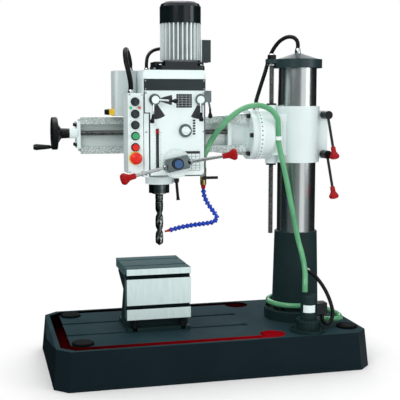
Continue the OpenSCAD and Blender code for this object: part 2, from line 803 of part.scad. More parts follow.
module sleeve_fittings() {
    color("#e8ecea") difference() {
        union() {
            upright([clip_x, clip_y, clip_z - clip_h / 2], hose_d / 2 + 3, clip_h);
            block([swivel_back, clip_y, clip_z - clip_h / 2],
                [clip_x - 4, clip_y + 6, clip_z + clip_h / 2]);
        }
        upright([clip_x, clip_y, clip_z - clip_h], hose_d / 2 + fit_run, 2 * clip_h);
    }
    color("#c9ced2") translate([sleeve_gland_x, sleeve_gland_y, sleeve_gland_z - gland_h])
        gland(gland_r, gland_h);
}

// Flanged nut that turns in the sleeve on the hanging screw
module lift_nut() color("#1c2022") difference() {
    union() {
        upright([screw_x, 0, sleeve_low - 8], nut_r, sleeve_h + 16);
        for (z = [sleeve_low - 4 - fit_slide - nut_flange_t, sleeve_top + 4 + fit_slide])
            upright([screw_x, 0, z], nut_flange_r, nut_flange_t);
    }
    upright([screw_x, 0, sleeve_low - 30], screw_r + fit_run, sleeve_h + 60);
}

module clamp_lever(z) {
    hub_y = -lug_w / 2 - fit_slide - clamp_hub_len;
    start = [clamp_x, hub_y + 12, z];
    color("#16191b") {
        along_y([clamp_x, hub_y, z], clamp_hub_r, clamp_hub_len);
        along_y([clamp_x, hub_y, z], clamp_r, clamp_hub_len + lug_w + 12);
        along_y([clamp_x, lug_w / 2 + fit_slide, z], clamp_hub_r - 3, 10);
    }
    color("#b9bfc3") rod(start, start + 1.04 * clamp_rod, 5);
    color("#c4141d") set_along(start + clamp_rod, start + 2 * clamp_rod) knob(clamp_knob_r, clamp_knob_len);
}

module upper_clamp_lever() clamp_lever(clamp_z[0]);

module lower_clamp_lever() clamp_lever(clamp_z[1]);

module arm_beam() color("#dfe5e4") difference() {
    union() {
        translate([0, beam_back, 0]) rotate([90, 0, 0]) linear_extrude(beam_back - rail_back) polygon([
            [arm_end_x, rail_z - beam_end_h / 2], [0, rail_z - beam_end_h / 2 - 4],
                [swivel_x - swivel_t, arm_z - beam_root_h / 2],
            [swivel_x - swivel_t, arm_z + beam_root_h / 2], [0, rail_z + beam_end_h / 2 + 4],
                [arm_end_x, rail_z + beam_end_h / 2]]);
        difference() {
            translate([arm_end_x, 0, 0]) rotate([90, 0, 90]) linear_extrude(rail_end - arm_end_x) polygon([
                [rail_front, rail_low], [rail_back, rail_low + rail_slope],
                    [rail_back + 1, rail_low + rail_slope],
                [rail_back + 1, rail_top - rail_slope], [rail_back, rail_top - rail_slope],
                    [rail_front, rail_top]]);
            block([arm_end_x - 1, rail_front - 1, rail_low + rail_band],
                [rib_x, rail_front + rail_recess, rail_top - rail_band]);
            block([rib_x + rib_t, rail_front - 1, rail_low + rail_band],
                [rail_end + 1, rail_front + rail_recess, rail_top - rail_band]);
        }
        along_x([swivel_x - swivel_t, 0, arm_z], swivel_r, swivel_t - fit_slide);
        along_x([swivel_x - 1, 0, arm_z], pivot_r, pivot_len);
    }
    for (i = [0:4]) block([arm_end_x + 20 + i * 122, -8, rail_z - 40],
        [arm_end_x + 124 + i * 122, beam_back + 1, rail_z + 40]);
    along_x([rib_x - 1, traverse_y, traverse_z], traverse_r - 1 + fit_run, rib_t + 2);
    for (a = bolt_angles) along_x([swivel_x - swivel_t - 1, groove_r * cos(a), arm_z + groove_r * sin(a)],
        swivel_bolt_r + fit_run, swivel_t + 2);
}

module swivel_bolts() color("#1d2123")
    for (a = bolt_angles) translate([swivel_x - swivel_t, groove_r * cos(a), arm_z + groove_r * sin(a)]) {
        rotate([0, -90, 0]) hex_head(8, 11);
        rotate([0, 90, 0]) cylinder(r = swivel_bolt_r, h = swivel_t + groove_deep - 4);
    }

module end_plate() {
    x = arm_end_x - end_plate_t;
    color("#e6ebea") difference() {
        union() {
            block([x, rail_front + 2, rail_low + 20], [arm_end_x, 20, rail_top - 15]);
            along_x([x - boss_len, traverse_y, traverse_z], 18, boss_len + 1);
        }
        along_x([x - boss_len - 1, traverse_y, traverse_z], journal_r + fit_run,
            boss_len + end_plate_t + 2);
    }
    color("#26292b") for (y = [rail_front + 14, 8], z = [rail_low + 32, rail_top - 27])
        translate([x, y, z]) rotate([0, -90, 0]) hex_head(6, 7);
}

module traverse_screw() color("#9aa1a6") {
    along_x([wheel_hub_x - 4, traverse_y, traverse_z], journal_r, arm_end_x - wheel_hub_x + 4);
    along_x([arm_end_x, traverse_y, traverse_z], traverse_r, rib_x - arm_end_x);
    along_x([rib_x, traverse_y, traverse_z], traverse_r - 1, rib_t);
}

module traverse_handwheel() color("#15181a") {
    rim_r = wheel_d / 2;
    translate([wheel_hub_x, traverse_y, traverse_z]) rotate([0, -90, 0]) {
        difference() {
            rotate_extrude() polygon([[journal_r + fit_run, -26], [17, -26], [18, 0], [rim_r - 12, 18],
                [rim_r - 9, 14],
                [rim_r - 2, 14], [rim_r, 17], [rim_r, 31], [rim_r - 2, 34], [rim_r - 9, 34],
                    [rim_r - 12, 30],
                [20, 12], [16, 24], [journal_r + fit_run, 24]]);
            for (i = [0:2]) rotate(60 + i * 120) translate([33, 0, 0]) cylinder(r = 10, h = 40);
        }
        translate([-rim_r + 10, 0, 0]) {
            translate([0, 0, 33]) cylinder(r = 5, h = 6);
            translate([0, 0, 39]) cylinder(r1 = 6.5, r2 = 11, h = 48);
            translate([0, 0, 87]) cylinder(r1 = 11, r2 = 8.5, h = 10);
        }
    }
}

module head_casting() color("#e4e9e7") difference() {
    union() {
        difference() {
            round_box([head_x, head_front, head_z], [head_right, head_back, head_top], 14);
            block([head_x + head_wall, head_front + head_wall, head_z + 18],
                [head_right - head_wall, head_back - head_wall, head_top + 1]);
        }
        intersection() {
            upright([spindle_x, spindle_y, head_z], barrel_r, barrel_top - head_z);
            block([head_x, head_front, head_z], [head_right, head_back, head_top]);
        }
        along_y([feed_x, head_front + 1, feed_z], pinion_r + 8, spindle_y - pinion_w / 2 - 4 - head_front);
        translate([head_x, 0, 0]) rotate([90, 0, 90]) linear_extrude(head_w) polygon([
            [head_back - 1, rail_top + fit_slide], [head_back, rail_top + fit_slide],
            [head_back + lip_reach,
                rail_top + fit_slide - lip_reach * rail_slope / (rail_back - rail_front)],
            [head_back + lip_reach, rail_top + lip_h], [head_back - 1, rail_top + lip_h]]);
        translate([head_x, 0, 0]) rotate([90, 0, 90]) linear_extrude(head_w) polygon([
            [head_back - 1, rail_low - fit_slide], [head_back, rail_low - fit_slide],
            [head_back + lip_reach,
                rail_low - fit_slide + lip_reach * rail_slope / (rail_back - rail_front)],
            [head_back + lip_reach, rail_low - lip_h], [head_back - 1, rail_low - lip_h]]);
    }
    upright([spindle_x, spindle_y, head_z - 1], quill_r + fit_run, quill_top - head_z + 11);
    upright([spindle_x, spindle_y, head_z], gear_hub_r + fit_run, head_h);
    along_y([feed_x, head_front - 1, feed_z], pinion_r + 1 + fit_run,
        spindle_y + pinion_w / 2 + 2 - head_front);
    block([pointer_x - pointer_w / 2 - 1, head_front - 1, pointer_z - quill_stroke - 10],
        [pointer_x + pointer_w / 2 + 1, spindle_y, pointer_z + 10]);
    along_x([head_right - head_wall - 1, side_y, side_z], side_shaft_r + fit_run, head_wall + 2);
    block([nut_x - nut_len / 2, head_back - 10, nut_low], [nut_x + nut_len / 2, head_back + 1, nut_high]);
}

module traverse_nut() color("#b28a45") difference() {
    block([nut_x - nut_len / 2, head_back - 10, nut_low],
        [nut_x + nut_len / 2, rail_front + rail_recess - 2, nut_high]);
    along_x([nut_x - nut_len, traverse_y, traverse_z], traverse_r + fit_run, 2 * nut_len);
}

module top_cover() color("#eef1f0") difference() {
    union() {
        round_box([head_x, panel_face - 2, head_top], [head_right, head_back, cover_top - 8], 12);
        round_box([head_x + 4, panel_face + 4, cover_top - 8],
            [head_right - 4, head_back - 4, cover_top], 10);
    }
    round_box([head_x + head_wall, head_front + head_wall, head_top - 1],
        [head_right - head_wall, head_back - head_wall, cover_top - 10], 6);
    upright([motor_x, spindle_y, head_top], motor_shaft_r + 3, cover_h + 1);
}

// Front panel with the depth slot and shaft holes, and the bare plates fixed to it
module front_panel() {
    color("#f1f4f2") difference() {
        block([head_x + 2, panel_face, head_z + 2], [head_right - 2, head_front, head_top]);
        block([pointer_x - pointer_w / 2 - 1, panel_face - 1, pointer_z - quill_stroke - 10],
            [pointer_x + pointer_w / 2 + 1, head_front + 1, pointer_z + 10]);
        along_y([feed_x, panel_face - 1, feed_z], pinion_r + 1 + fit_run, panel_t + 2);
        for (p = lever_spots) along_y([p[0], panel_face - 1, p[1]], lever_shaft_r + fit_run, panel_t + 2);
    }
    color("#1f282c") block([head_x + 2, panel_face - 2, head_top - 39],
        [head_right - 2, panel_face, head_top - 1]);
    color("#353d40") block([speed_plate[0], panel_face - plate_proud, speed_plate[1]],
        [speed_plate[0] + speed_plate_w, panel_face, speed_plate[1] + speed_plate_h]);
    color("#e9ecea") block([head_x + 136, panel_face - plate_proud, head_z + 20],
        [head_x + 198, panel_face, head_z + 90]);
}

module quill_collar() color("#e4e9e7") difference() {
    union() {
        upright([spindle_x, spindle_y, collar_low], collar_r, head_z - seal_t - collar_low);
        upright([spindle_x, spindle_y, head_z - seal_t], collar_r - 4, seal_t);
        block([spindle_x + collar_r - 14, spindle_y - lock_half, collar_low + 2],
            [lock_x + 12, spindle_y + lock_half, head_z - seal_t - 2]);
    }
    upright([spindle_x, spindle_y, collar_low - 1], quill_r + fit_run, head_z);
    block([spindle_x + quill_r - 4, spindle_y - 2, collar_low - 1],
        [lock_x + 13, spindle_y + 2, head_z - seal_t]);
    along_y([lock_x, spindle_y - lock_half - 1, lock_z], lock_shaft_r + fit_run, 2 * lock_half + 2);
}

module motor_body() {
    color("#8f979b") difference() {
        union() {
            upright([motor_x, spindle_y, motor_low], motor_r - fin_h, motor_len);
            for (i = [0:fin_count - 1]) rotate_about(motor_x, spindle_y, (i + 0.5) * 360 / fin_count)
                block([motor_x + motor_r - fin_h - 4, spindle_y - fin_t / 2, motor_low + 6],
                    [motor_x + motor_r, spindle_y + fin_t / 2, motor_low + motor_len]);
            round_box([motor_x + motor_r - 8, spindle_y - terminal_dep / 2, motor_low],
                [motor_x + motor_r + terminal_w, spindle_y + terminal_dep / 2, motor_low + terminal_h], 5);
        }
        upright([motor_x, spindle_y, motor_low - 1], motor_shaft_r + fit_run, motor_len / 2);
    }
    color("#1a1e20") difference() {
        round_box([flange_x - flange_w / 2, spindle_y - flange_dep / 2, cover_top],
            [flange_x + flange_w / 2, spindle_y + flange_dep / 2, motor_low], 18);
        upright([motor_x, spindle_y, cover_top - 1], motor_shaft_r + 3, flange_t + 2);
        for (sx = [-1, 1], sy = [-1, 1]) block(
            [flange_x + sx * (flange_w / 2 - 14) - 15, spindle_y + sy * (flange_dep / 2 - 14) - 15,
                cover_top + 14],
            [flange_x + sx * (flange_w / 2 - 14) + 15, spindle_y + sy * (flange_dep / 2 - 14) + 15,
                motor_low + 1]);
    }
    color("#b9bfc3") for (sx = [-1, 1], sy = [-1, 1])
        translate([flange_x + sx * (flange_w / 2 - 15), spindle_y + sy * (flange_dep / 2 - 15),
            cover_top + 14]) hex_head(8, 10);
}

module motor_cowl() color("#16191b") translate([motor_x, spindle_y, motor_low + motor_len]) difference() {
    rotate_extrude() polygon([[0, 0], [motor_r + 1, 0], [motor_r + 1, cowl_h - 18],
        [motor_r - 4, cowl_h - 8],
        [motor_r - 14, cowl_h - 2], [motor_r - 24, cowl_h], [0, cowl_h]]);
    translate([0, 0, 6]) cylinder(r = motor_r - 3, h = cowl_h - 26);
    for (ring = [1:3], i = [0:6 * ring - 1])
        rotate(i * 60 / ring) translate([ring * 14, 0, cowl_h - 22]) cylinder(r = 4.5, h = 30);
}

module motor_cable() color("#0d0e10") cord(motor_route, 12);

// Push button box: grey shell, white lid with bezels, lamps and the yellow stop base
module control_box() {
    color("#aab3b5") difference() {
        round_box([box_left, box_front, box_low], [head_x, box_back, box_high], 3);
        block([box_left + box_wall, box_front - 1, box_low + box_wall],
            [head_x - box_wall, box_back - box_wall, box_high - box_wall]);
    }
    color("#eef1f0") difference() {
        block([box_left, lid_face, box_low], [head_x, box_front, box_high]);
        for (z = button_zs) along_y([button_x, lid_face - 1, z], button_d / 2 + fit_run, lid_t + 2);
        along_y([button_x, lid_face - 1, stop_z], 10 + fit_run, lid_t + 2);
        along_y([button_x, lid_face - 1, selector_z], 6 + fit_run, lid_t + 2);
    }
    color("#2a2e30") for (z = button_zs) bezel(z, button_d / 2 + fit_run, bezel_r);
    color("#2a2e30") bezel(selector_z, 6 + fit_run, bezel_r);
    color("#e8c21a") bezel(stop_z, 10 + fit_run, mushroom_d / 2 + 2);
    color("#2f9e57") lamp(-1);
    color("#c4141d") lamp(1);
}

module bezel(z, hole, r) {
    difference() {
        along_y([button_x, lid_face - 4, z], r, 4);
        along_y([button_x, lid_face - 5, z], hole, 6);
    }
}

module lamp(side) {
    along_y([button_x + side * 15, lid_face - 5, lamp_z], 4.5, 5);
}

module electrical_box() {
    color("#a3acae") difference() {
        round_box([rear_left, rear_front, rear_low], [head_x, rear_back, rear_high], 12);
        block([rear_left + rear_wall, rear_front + rear_wall, rear_low + rear_wall],
            [head_x - rear_wall, rear_back - rear_wall, rear_high - rear_wall]);
    }
    color("#e2bd1c") difference() {
        block([rear_left - switch_t, switch_y - 21, switch_z - 11],
            [rear_left, switch_y + 21, switch_z + 11]);
        along_x([rear_left - switch_t - 1, switch_y, switch_z], 5 + fit_run, switch_t + 2);
    }
}

module conduit_glands() color("#c9ced2") {
    translate([conduit_route[0][0], conduit_route[0][1], box_high])
        gland(11, conduit_route[0][2] - box_high);
    translate([conduit_route[8][0], conduit_route[8][1], rear_high])
        gland(11, conduit_route[8][2] - rear_high);
    translate([motor_route[0][0], motor_route[0][1], cover_top]) gland(9, motor_route[0][2] - cover_top);
    translate([motor_route[9][0], spindle_y + terminal_dep / 2, motor_route[9][2]]) rotate([-90, 0, 0])
        gland(9, motor_route[9][1] - spindle_y - terminal_dep / 2);
}

module conduit() color("#0d0e10") cord(conduit_route, 17);

module coolant_tap() {
    color("#b9903f") difference() {
        union() {
            upright([tap_x, tap_y, tap_low], tap_r, tap_top - tap_low);
            along_x([head_right, tap_y, head_z + 10], 9, tap_x - head_right);
            along_y([tap_x, tap_y - tap_r - 5, tap_low + 26], 8, tap_r + 5);
        }
        along_y([tap_x, tap_y - tap_r - 6, tap_low + 26], 4 + fit_run, 12);
    }
    color("#c4141d") translate([tap_x, tap_y, line_route[0][2]])
        cylinder(r1 = 7, r2 = 9, h = tap_low - line_route[0][2]);
}

// Snap-together coolant line: one ball-and-cup segment after another, and its nozzle
module coolant_line() {
    color("#1d58b8") for (i = [0:seg_count - 1]) {
        from = route_at(line_route, i * (seg_len + seg_gap) + seg_gap);
        to = route_at(line_route, (i + 1) * (seg_len + seg_gap));
        set_along(from, to) rotate_extrude() let (end = norm(to - from)) polygon([[0, 0], [1, 0], [3, 1],
            [4.6, 2.2], [6.4, 4], [7.4, 5.5], [7.6, 9], [6.4, end - 3.6], [4.6, end - 2], [3, end - 0.9],
                [1, end], [0, end]]);
    }
    tip = route_at(line_route, seg_count * (seg_len + seg_gap));
    color("#c4141d") set_along(tip, tip + tip - route_at(line_route, seg_count * (seg_len + seg_gap) - 10))
        translate([0, 0, seg_gap]) cylinder(r1 = 6, r2 = 3, h = 26);
}

// Speed and range levers: a shaft in the panel, a disc, a slanted rod and a knob
module shift_lever(spot, disc_r, low, high, turn, length) {
    start = [spot[0], low - high / 2, spot[1]];
    reach = [cos(turn), 0, sin(turn)];
    finish = start + reach * (length - 30) + [0, -12, 0];
    color("#c3c9cc") along_y([spot[0], low - high, spot[1]], disc_r, high);
    color("#b9bfc3") rod(start, finish, 3.5);
    color("#141618") set_along(finish, finish + reach) knob(8, 30);
}

module speed_lever_upper() {
    shift_lever(lever_left, 13, panel_face - upper_lever_out - fit_slide, 12, -4, 75);
    color("#c3c9cc") along_y([lever_left[0], panel_face - upper_lever_out - 2, lever_left[1]],
        inner_shaft_r, upper_lever_out + 1 + panel_t);
}

module speed_lever_lower() difference() {
    union() {
        shift_lever(lever_left, lever_disc_r, panel_face - fit_slide, 10, 262, 80);
        color("#c3c9cc") along_y([lever_left[0], panel_face - 1, lever_left[1]], lever_shaft_r, panel_t);
    }
    along_y([lever_left[0], panel_face - 40, lever_left[1]], inner_shaft_r + fit_run, 80);
}

module range_lever() {
    shift_lever(lever_right, lever_disc_r, panel_face - fit_slide, 12, 270, 74);
    color("#c3c9cc") along_y([lever_right[0], panel_face - 1, lever_right[1]], lever_shaft_r, panel_t);
}

module side_lever() {
    x = head_right + fit_slide;
    color("#aab1b5") block([x, side_y - 18, side_z - 20], [x + 30, side_y + 18, side_z + 20]);
    color("#aab1b5") along_x([x - 10, side_y, side_z], side_shaft_r, 11);
    color("#b9bfc3") rod([x + 24, side_y, side_z - 12], [x + 31, side_y, side_z - 46], 3.5);
    color("#141618") set_along([x + 30, side_y, side_z - 42], [x + 31, side_y, side_z - 72]) knob(8, 34);
}

module feed_selector() {
    color("#c3c9cc") along_y([feed_spot[0], panel_face - fit_slide - 6, feed_spot[1]], 23, 6);
    color("#eef1f0") along_y([feed_spot[0], panel_face - fit_slide - 16, feed_spot[1]], 14, 11);
    color("#eef1f0") block([feed_spot[0] - 14, panel_face - fit_slide - 24, feed_spot[1] - 4],
        [feed_spot[0] + 14, panel_face - fit_slide - 15, feed_spot[1] + 4]);
    color("#c3c9cc") along_y([feed_spot[0], panel_face - 1, feed_spot[1]], lever_shaft_r, panel_t);
}

module mode_selector() color("#1a1d1f") {
    along_y([button_x, lid_face - 4 - fit_slide - 8, selector_z], 11.5, 8);
    block([button_x - 4, lid_face - 4 - fit_slide - 16, selector_z - 11],
        [button_x + 4, lid_face - 4 - fit_slide - 7, selector_z + 11]);
    along_y([button_x, lid_face - 6, selector_z], 6, lid_t + 4);
}

module push_button(z) {
    along_y([button_x, lid_face - 10, z], button_d / 2, lid_t + 10);
}

module raise_button() color("#16191b") push_button(button_zs[0]);

module lower_button() color("#16191b") push_button(button_zs[1]);

module start_button() color("#2f9e57") push_button(button_zs[2]);

module stop_button() color("#c4141d") push_button(button_zs[3]);

module emergency_button() color("#c4141d") {
    along_y([button_x, lid_face - 14, stop_z], 10, lid_t + 14);
    translate([button_x, lid_face - 11, stop_z]) rotate([90, 0, 0]) rotate_extrude()
        polygon([[0, 0], [mushroom_d / 2 - 3, 0], [mushroom_d / 2, 4], [mushroom_d / 2, 10],
            [mushroom_d / 2 - 4, 15], [mushroom_d / 2 - 11, 18], [0, 19]]);
}

module main_switch() color("#c4141d") {
    along_x([rear_left - switch_t - fit_slide - 8, switch_y, switch_z], 10, 8);
    along_x([rear_left - switch_t - 2, switch_y, switch_z], 5, switch_t);
    block([rear_left - switch_t - fit_slide - 14, switch_y - 3, switch_z - 9],
        [rear_left - switch_t - fit_slide - 7, switch_y + 3, switch_z + 9]);
}

module tap_handle() color("#15181a") {
    y = tap_y - tap_r - 5 - fit_slide;
    along_y([tap_x, y - 7, tap_low + 26], 8, 7);
    along_y([tap_x, y - 1, tap_low + 26], 4, 10);
    block([tap_x, y - 7, tap_low + 21], [tap_x + 48, y - 1, tap_low + 31]);
}

module quill_lock_lever() color("#15181a") {
    y = spindle_y - lock_half - fit_slide;
    along_y([lock_x, y - 14, lock_z], 8, 14);
    along_y([lock_x, y - 1, lock_z], lock_shaft_r, 2 * lock_half);
    rod([lock_x, y - 8, lock_z - 4], [lock_x + 4, y - 12, lock_z - 60], 5);
    set_along([lock_x + 4, y - 12, lock_z - 58],
        [lock_x + 5, y - 13, lock_z - 72]) cylinder(r1 = 5, r2 = 6.5, h = 12);
}

// Feed hub with its pinion shaft, dial, hub body, cap and two opposed levers
module feed_hub() {
    face = panel_face - plate_proud - fit_slide;
    hub_front = face - hub_out;
    middle = [feed_x, hub_front + 16, feed_z];
    shaft_end = spindle_y - pinion_w / 2;
    color("#9aa1a6") {
        along_y([feed_x, face - 8, feed_z], pinion_r + 1, shaft_end - 26 - face + 8);
        along_y([feed_x, shaft_end - 27, feed_z], pinion_r - 2, 28);
        difference() {
            along_y([feed_x, shaft_end, feed_z], pinion_r + 1, pinion_w);
            for (i = [0:11]) translate([feed_x, shaft_end, feed_z]) rotate([0, (i + 0.5) * 30, 0])
                translate([pinion_r - 1.6, -1, -1.4]) cube([6, pinion_w + 2, 2.8]);
        }
    }
    color("#eef1f0") along_y([feed_x, face - 8, feed_z], 50, 8);
    color("#2b3337") intersection() {
        along_y([feed_x, face - 26, feed_z], feed_block_r, 19);
        translate([feed_x, 0, feed_z]) rotate([0, -feed_block_tilt, 0])
            block([-feed_block_r - 2, face - 28, -feed_block_h / 2],
                [feed_block_r + 2, face - 5, feed_block_h / 2]);
    }
    color("#2b3337") along_y([feed_x, hub_front, feed_z], feed_boss_r, 9);
    color("#2a62b4") along_y([feed_x, hub_front - 6, feed_z], 14, 7);
    for (d = feed_tilt) {
        ball = middle + feed_ball_at * unit(d);
        finish = middle + (feed_lever_len - feed_knob_len) * unit(d);
        color("#c3c9cc") rod(ball, finish + 4 * unit(d), 5.5);
        color("#c3c9cc") set_along(ball, finish) sphere(r = 10);
        color("#c4141d") set_along(finish, finish + d) knob(feed_knob_r, feed_knob_len);
    }
}

module quill() {
    color("#b7bdc1") difference() {
        upright([spindle_x, spindle_y, quill_low], quill_r, quill_top - quill_low);
        upright([spindle_x, spindle_y, quill_low - 1], nose_r + 1, quill_top);
        block([spindle_x + quill_r - rack_depth, spindle_y - pinion_w / 2 - 2, feed_z - 18],
            [spindle_x + quill_r + 1, spindle_y + pinion_w / 2 + 2, feed_z + quill_stroke + 18]);
        for (i = [0:floor(quill_stroke / rack_pitch) + 3])
            block([spindle_x + quill_r - rack_depth - 2, spindle_y - pinion_w / 2 - 2,
                feed_z - 12 + i * rack_pitch],
                [spindle_x + quill_r, spindle_y + pinion_w / 2 + 2,
                    feed_z - 12 + i * rack_pitch + rack_pitch / 2]);
    }
    color("#c4141d") block([pointer_x - pointer_w / 2, panel_face - 6, pointer_z - 7],
        [pointer_x + pointer_w / 2, spindle_y - sqrt(pow(quill_r,
            2) - pow(pointer_x - pointer_w / 2 - spindle_x, 2)) + 4, pointer_z + 7]);
}

module spindle_bearings() color("#8d949a")
    for (z = [quill_low + bearing_up, quill_top - bearing_h - 4]) difference() {
        upright([spindle_x, spindle_y, z], nose_r + 1 - fit_run, bearing_h);
        upright([spindle_x, spindle_y, z - 1], spindle_r + fit_run, bearing_h + 2);
    }

// Spindle with its socket, and the twist drill held in it
module spindle() {
    nose_low = quill_low - 4;
    color("#9aa1a6") difference() {
        union() {
            upright([spindle_x, spindle_y, nose_low], nose_r, 48);
            upright([spindle_x, spindle_y, quill_low + 40], spindle_r, quill_top - quill_low - 40);
            upright([spindle_x, spindle_y, quill_top - 1], spline_r, cover_top - 14 - quill_top);
        }
        upright([spindle_x, spindle_y, nose_low - 1], drill_d / 2 + fit_run, socket_deep + 1);
    }
    color("#5d6468") translate([spindle_x, spindle_y, nose_low - drill_len]) {
        translate([0, 0, drill_tip]) cylinder(r = drill_d / 2, h = drill_len - drill_tip + socket_deep);
        cylinder(r1 = 0.8, r2 = drill_d / 2, h = drill_tip);
    }
}

module gear(r, h, teeth) {
    half = PI * r / teeth * tooth_share;
    step = 360 / teeth;
    corners = [[r - tooth_root, -half], [r - tooth_tip, -half], [r - tooth_tip, half],
        [r - tooth_root, half]];
    linear_extrude(h) polygon([for (i = [0:teeth - 1], p = corners)
        [p.x * cos(i * step) - p.y * sin(i * step), p.x * sin(i * step) + p.y * cos(i * step)]]);
}

module spindle_gear() color("#a48a52") translate([spindle_x, spindle_y, 0]) difference() {
    union() {
        translate([0, 0, gear_z]) gear(gear_r, gear_t, spindle_teeth);
        translate([0, 0, quill_top + 4]) cylinder(r = gear_hub_r, h = gear_z - quill_top);
    }
    translate([0, 0, quill_top]) cylinder(r = spline_r + fit_run, h = gear_z);
}

module motor_pinion() color("#a48a52") translate([motor_x, spindle_y, 0]) {
    translate([0, 0, gear_z]) gear(motor_gear_r, gear_t, motor_teeth);
    translate([0, 0, gear_z - 4]) cylinder(r = motor_shaft_r, h = motor_low + motor_len / 2 - gear_z);
}

base_casting();
anchor_caps();
drain_strainers();
pedestal();
column();
thrust_bearing();
coolant_pump();
pump_cable();
drain_hose();
coolant_hose();
box_table();
table_bolts();
column_cap();
lift_screw();
supply_cable();
arm_sleeve();
degree_ring();
sleeve_fittings();
lift_nut();
upper_clamp_lever();
lower_clamp_lever();
arm_beam();
swivel_bolts();
end_plate();
traverse_screw();
traverse_handwheel();
head_casting();
top_cover();
front_panel();
traverse_nut();
quill_collar();
motor_body();
motor_cowl();
motor_cable();
control_box();
electrical_box();
conduit_glands();
conduit();
coolant_tap();
coolant_line();
speed_lever_upper();
speed_lever_lower();
range_lever();
side_lever();
feed_selector();
mode_selector();
raise_button();
lower_button();
start_button();
stop_button();
emergency_button();
main_switch();
tap_handle();
quill_lock_lever();
feed_hub();
quill();
spindle_bearings();
spindle();
spindle_gear();
motor_pinion();
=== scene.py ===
import math

import bmesh
import bpy
from mathutils import Matrix, Vector


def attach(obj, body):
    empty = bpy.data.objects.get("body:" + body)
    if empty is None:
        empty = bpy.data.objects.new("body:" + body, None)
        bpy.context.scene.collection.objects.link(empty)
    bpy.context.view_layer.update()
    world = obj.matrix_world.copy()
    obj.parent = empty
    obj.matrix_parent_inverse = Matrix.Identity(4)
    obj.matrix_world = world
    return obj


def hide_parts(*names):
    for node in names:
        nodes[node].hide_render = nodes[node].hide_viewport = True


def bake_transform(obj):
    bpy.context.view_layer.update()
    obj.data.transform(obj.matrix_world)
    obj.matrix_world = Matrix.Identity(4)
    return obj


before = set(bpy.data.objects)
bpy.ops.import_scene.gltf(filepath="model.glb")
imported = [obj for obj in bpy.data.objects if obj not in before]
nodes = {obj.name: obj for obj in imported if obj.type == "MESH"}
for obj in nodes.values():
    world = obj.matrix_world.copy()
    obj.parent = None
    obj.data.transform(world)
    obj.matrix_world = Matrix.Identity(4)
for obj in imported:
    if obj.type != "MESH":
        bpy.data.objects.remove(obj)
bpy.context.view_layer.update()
scene = bpy.context.scene
scene.view_settings.view_transform = "Standard"

# Places in the CAD frame, in mm
MM = 0.001
COLUMN_X = 379
DECK_Z = 135
LIFT_SCREW_X = 277
ARM_Z = 840
TRAVERSE_Y, TRAVERSE_Z = -47, 852
SPINDLE_X, SPINDLE_Y = -183, -140
POINTER_X = SPINDLE_X - 21
MOTOR_X = -105
FLANGE_X, FLANGE_TOP = -118, 1083
FEED_X, FEED_Z = -139, 752
SPEED_X, RANGE_X, SHIFT_Z = -215, -55, 969
PANEL_FACE, PLATE_FACE, BOX_FACE = -220, -221, -218
LAMP_Z = 942
PUMP_X, PUMP_Y = 350, -222

# Camera at the photograph's angle
CAMERA_PLACE = (-0.797, -3.161, 0.969)
CAMERA_TILT, CAMERA_TURN = 83.504, -14.158
CAMERA_BEARING = -104.2
camera_data = bpy.data.cameras.new("camera")
camera_data.lens = 79.3
camera_data.sensor_width = 36
camera = bpy.data.objects.new("camera", camera_data)
camera.location = CAMERA_PLACE
camera.rotation_euler = (math.radians(CAMERA_TILT), 0, math.radians(CAMERA_TURN))
scene.collection.objects.link(camera)
scene.camera = camera

# Materials
COAT_ROUGHNESS = 0.12
DARK_TONE_AT, LIGHT_TONE_AT = 0.32, 0.74
GRAIN_HEIGHT, LINE_HEIGHT = 0.002, 0.0005
WAVE_LENGTH = 0.314


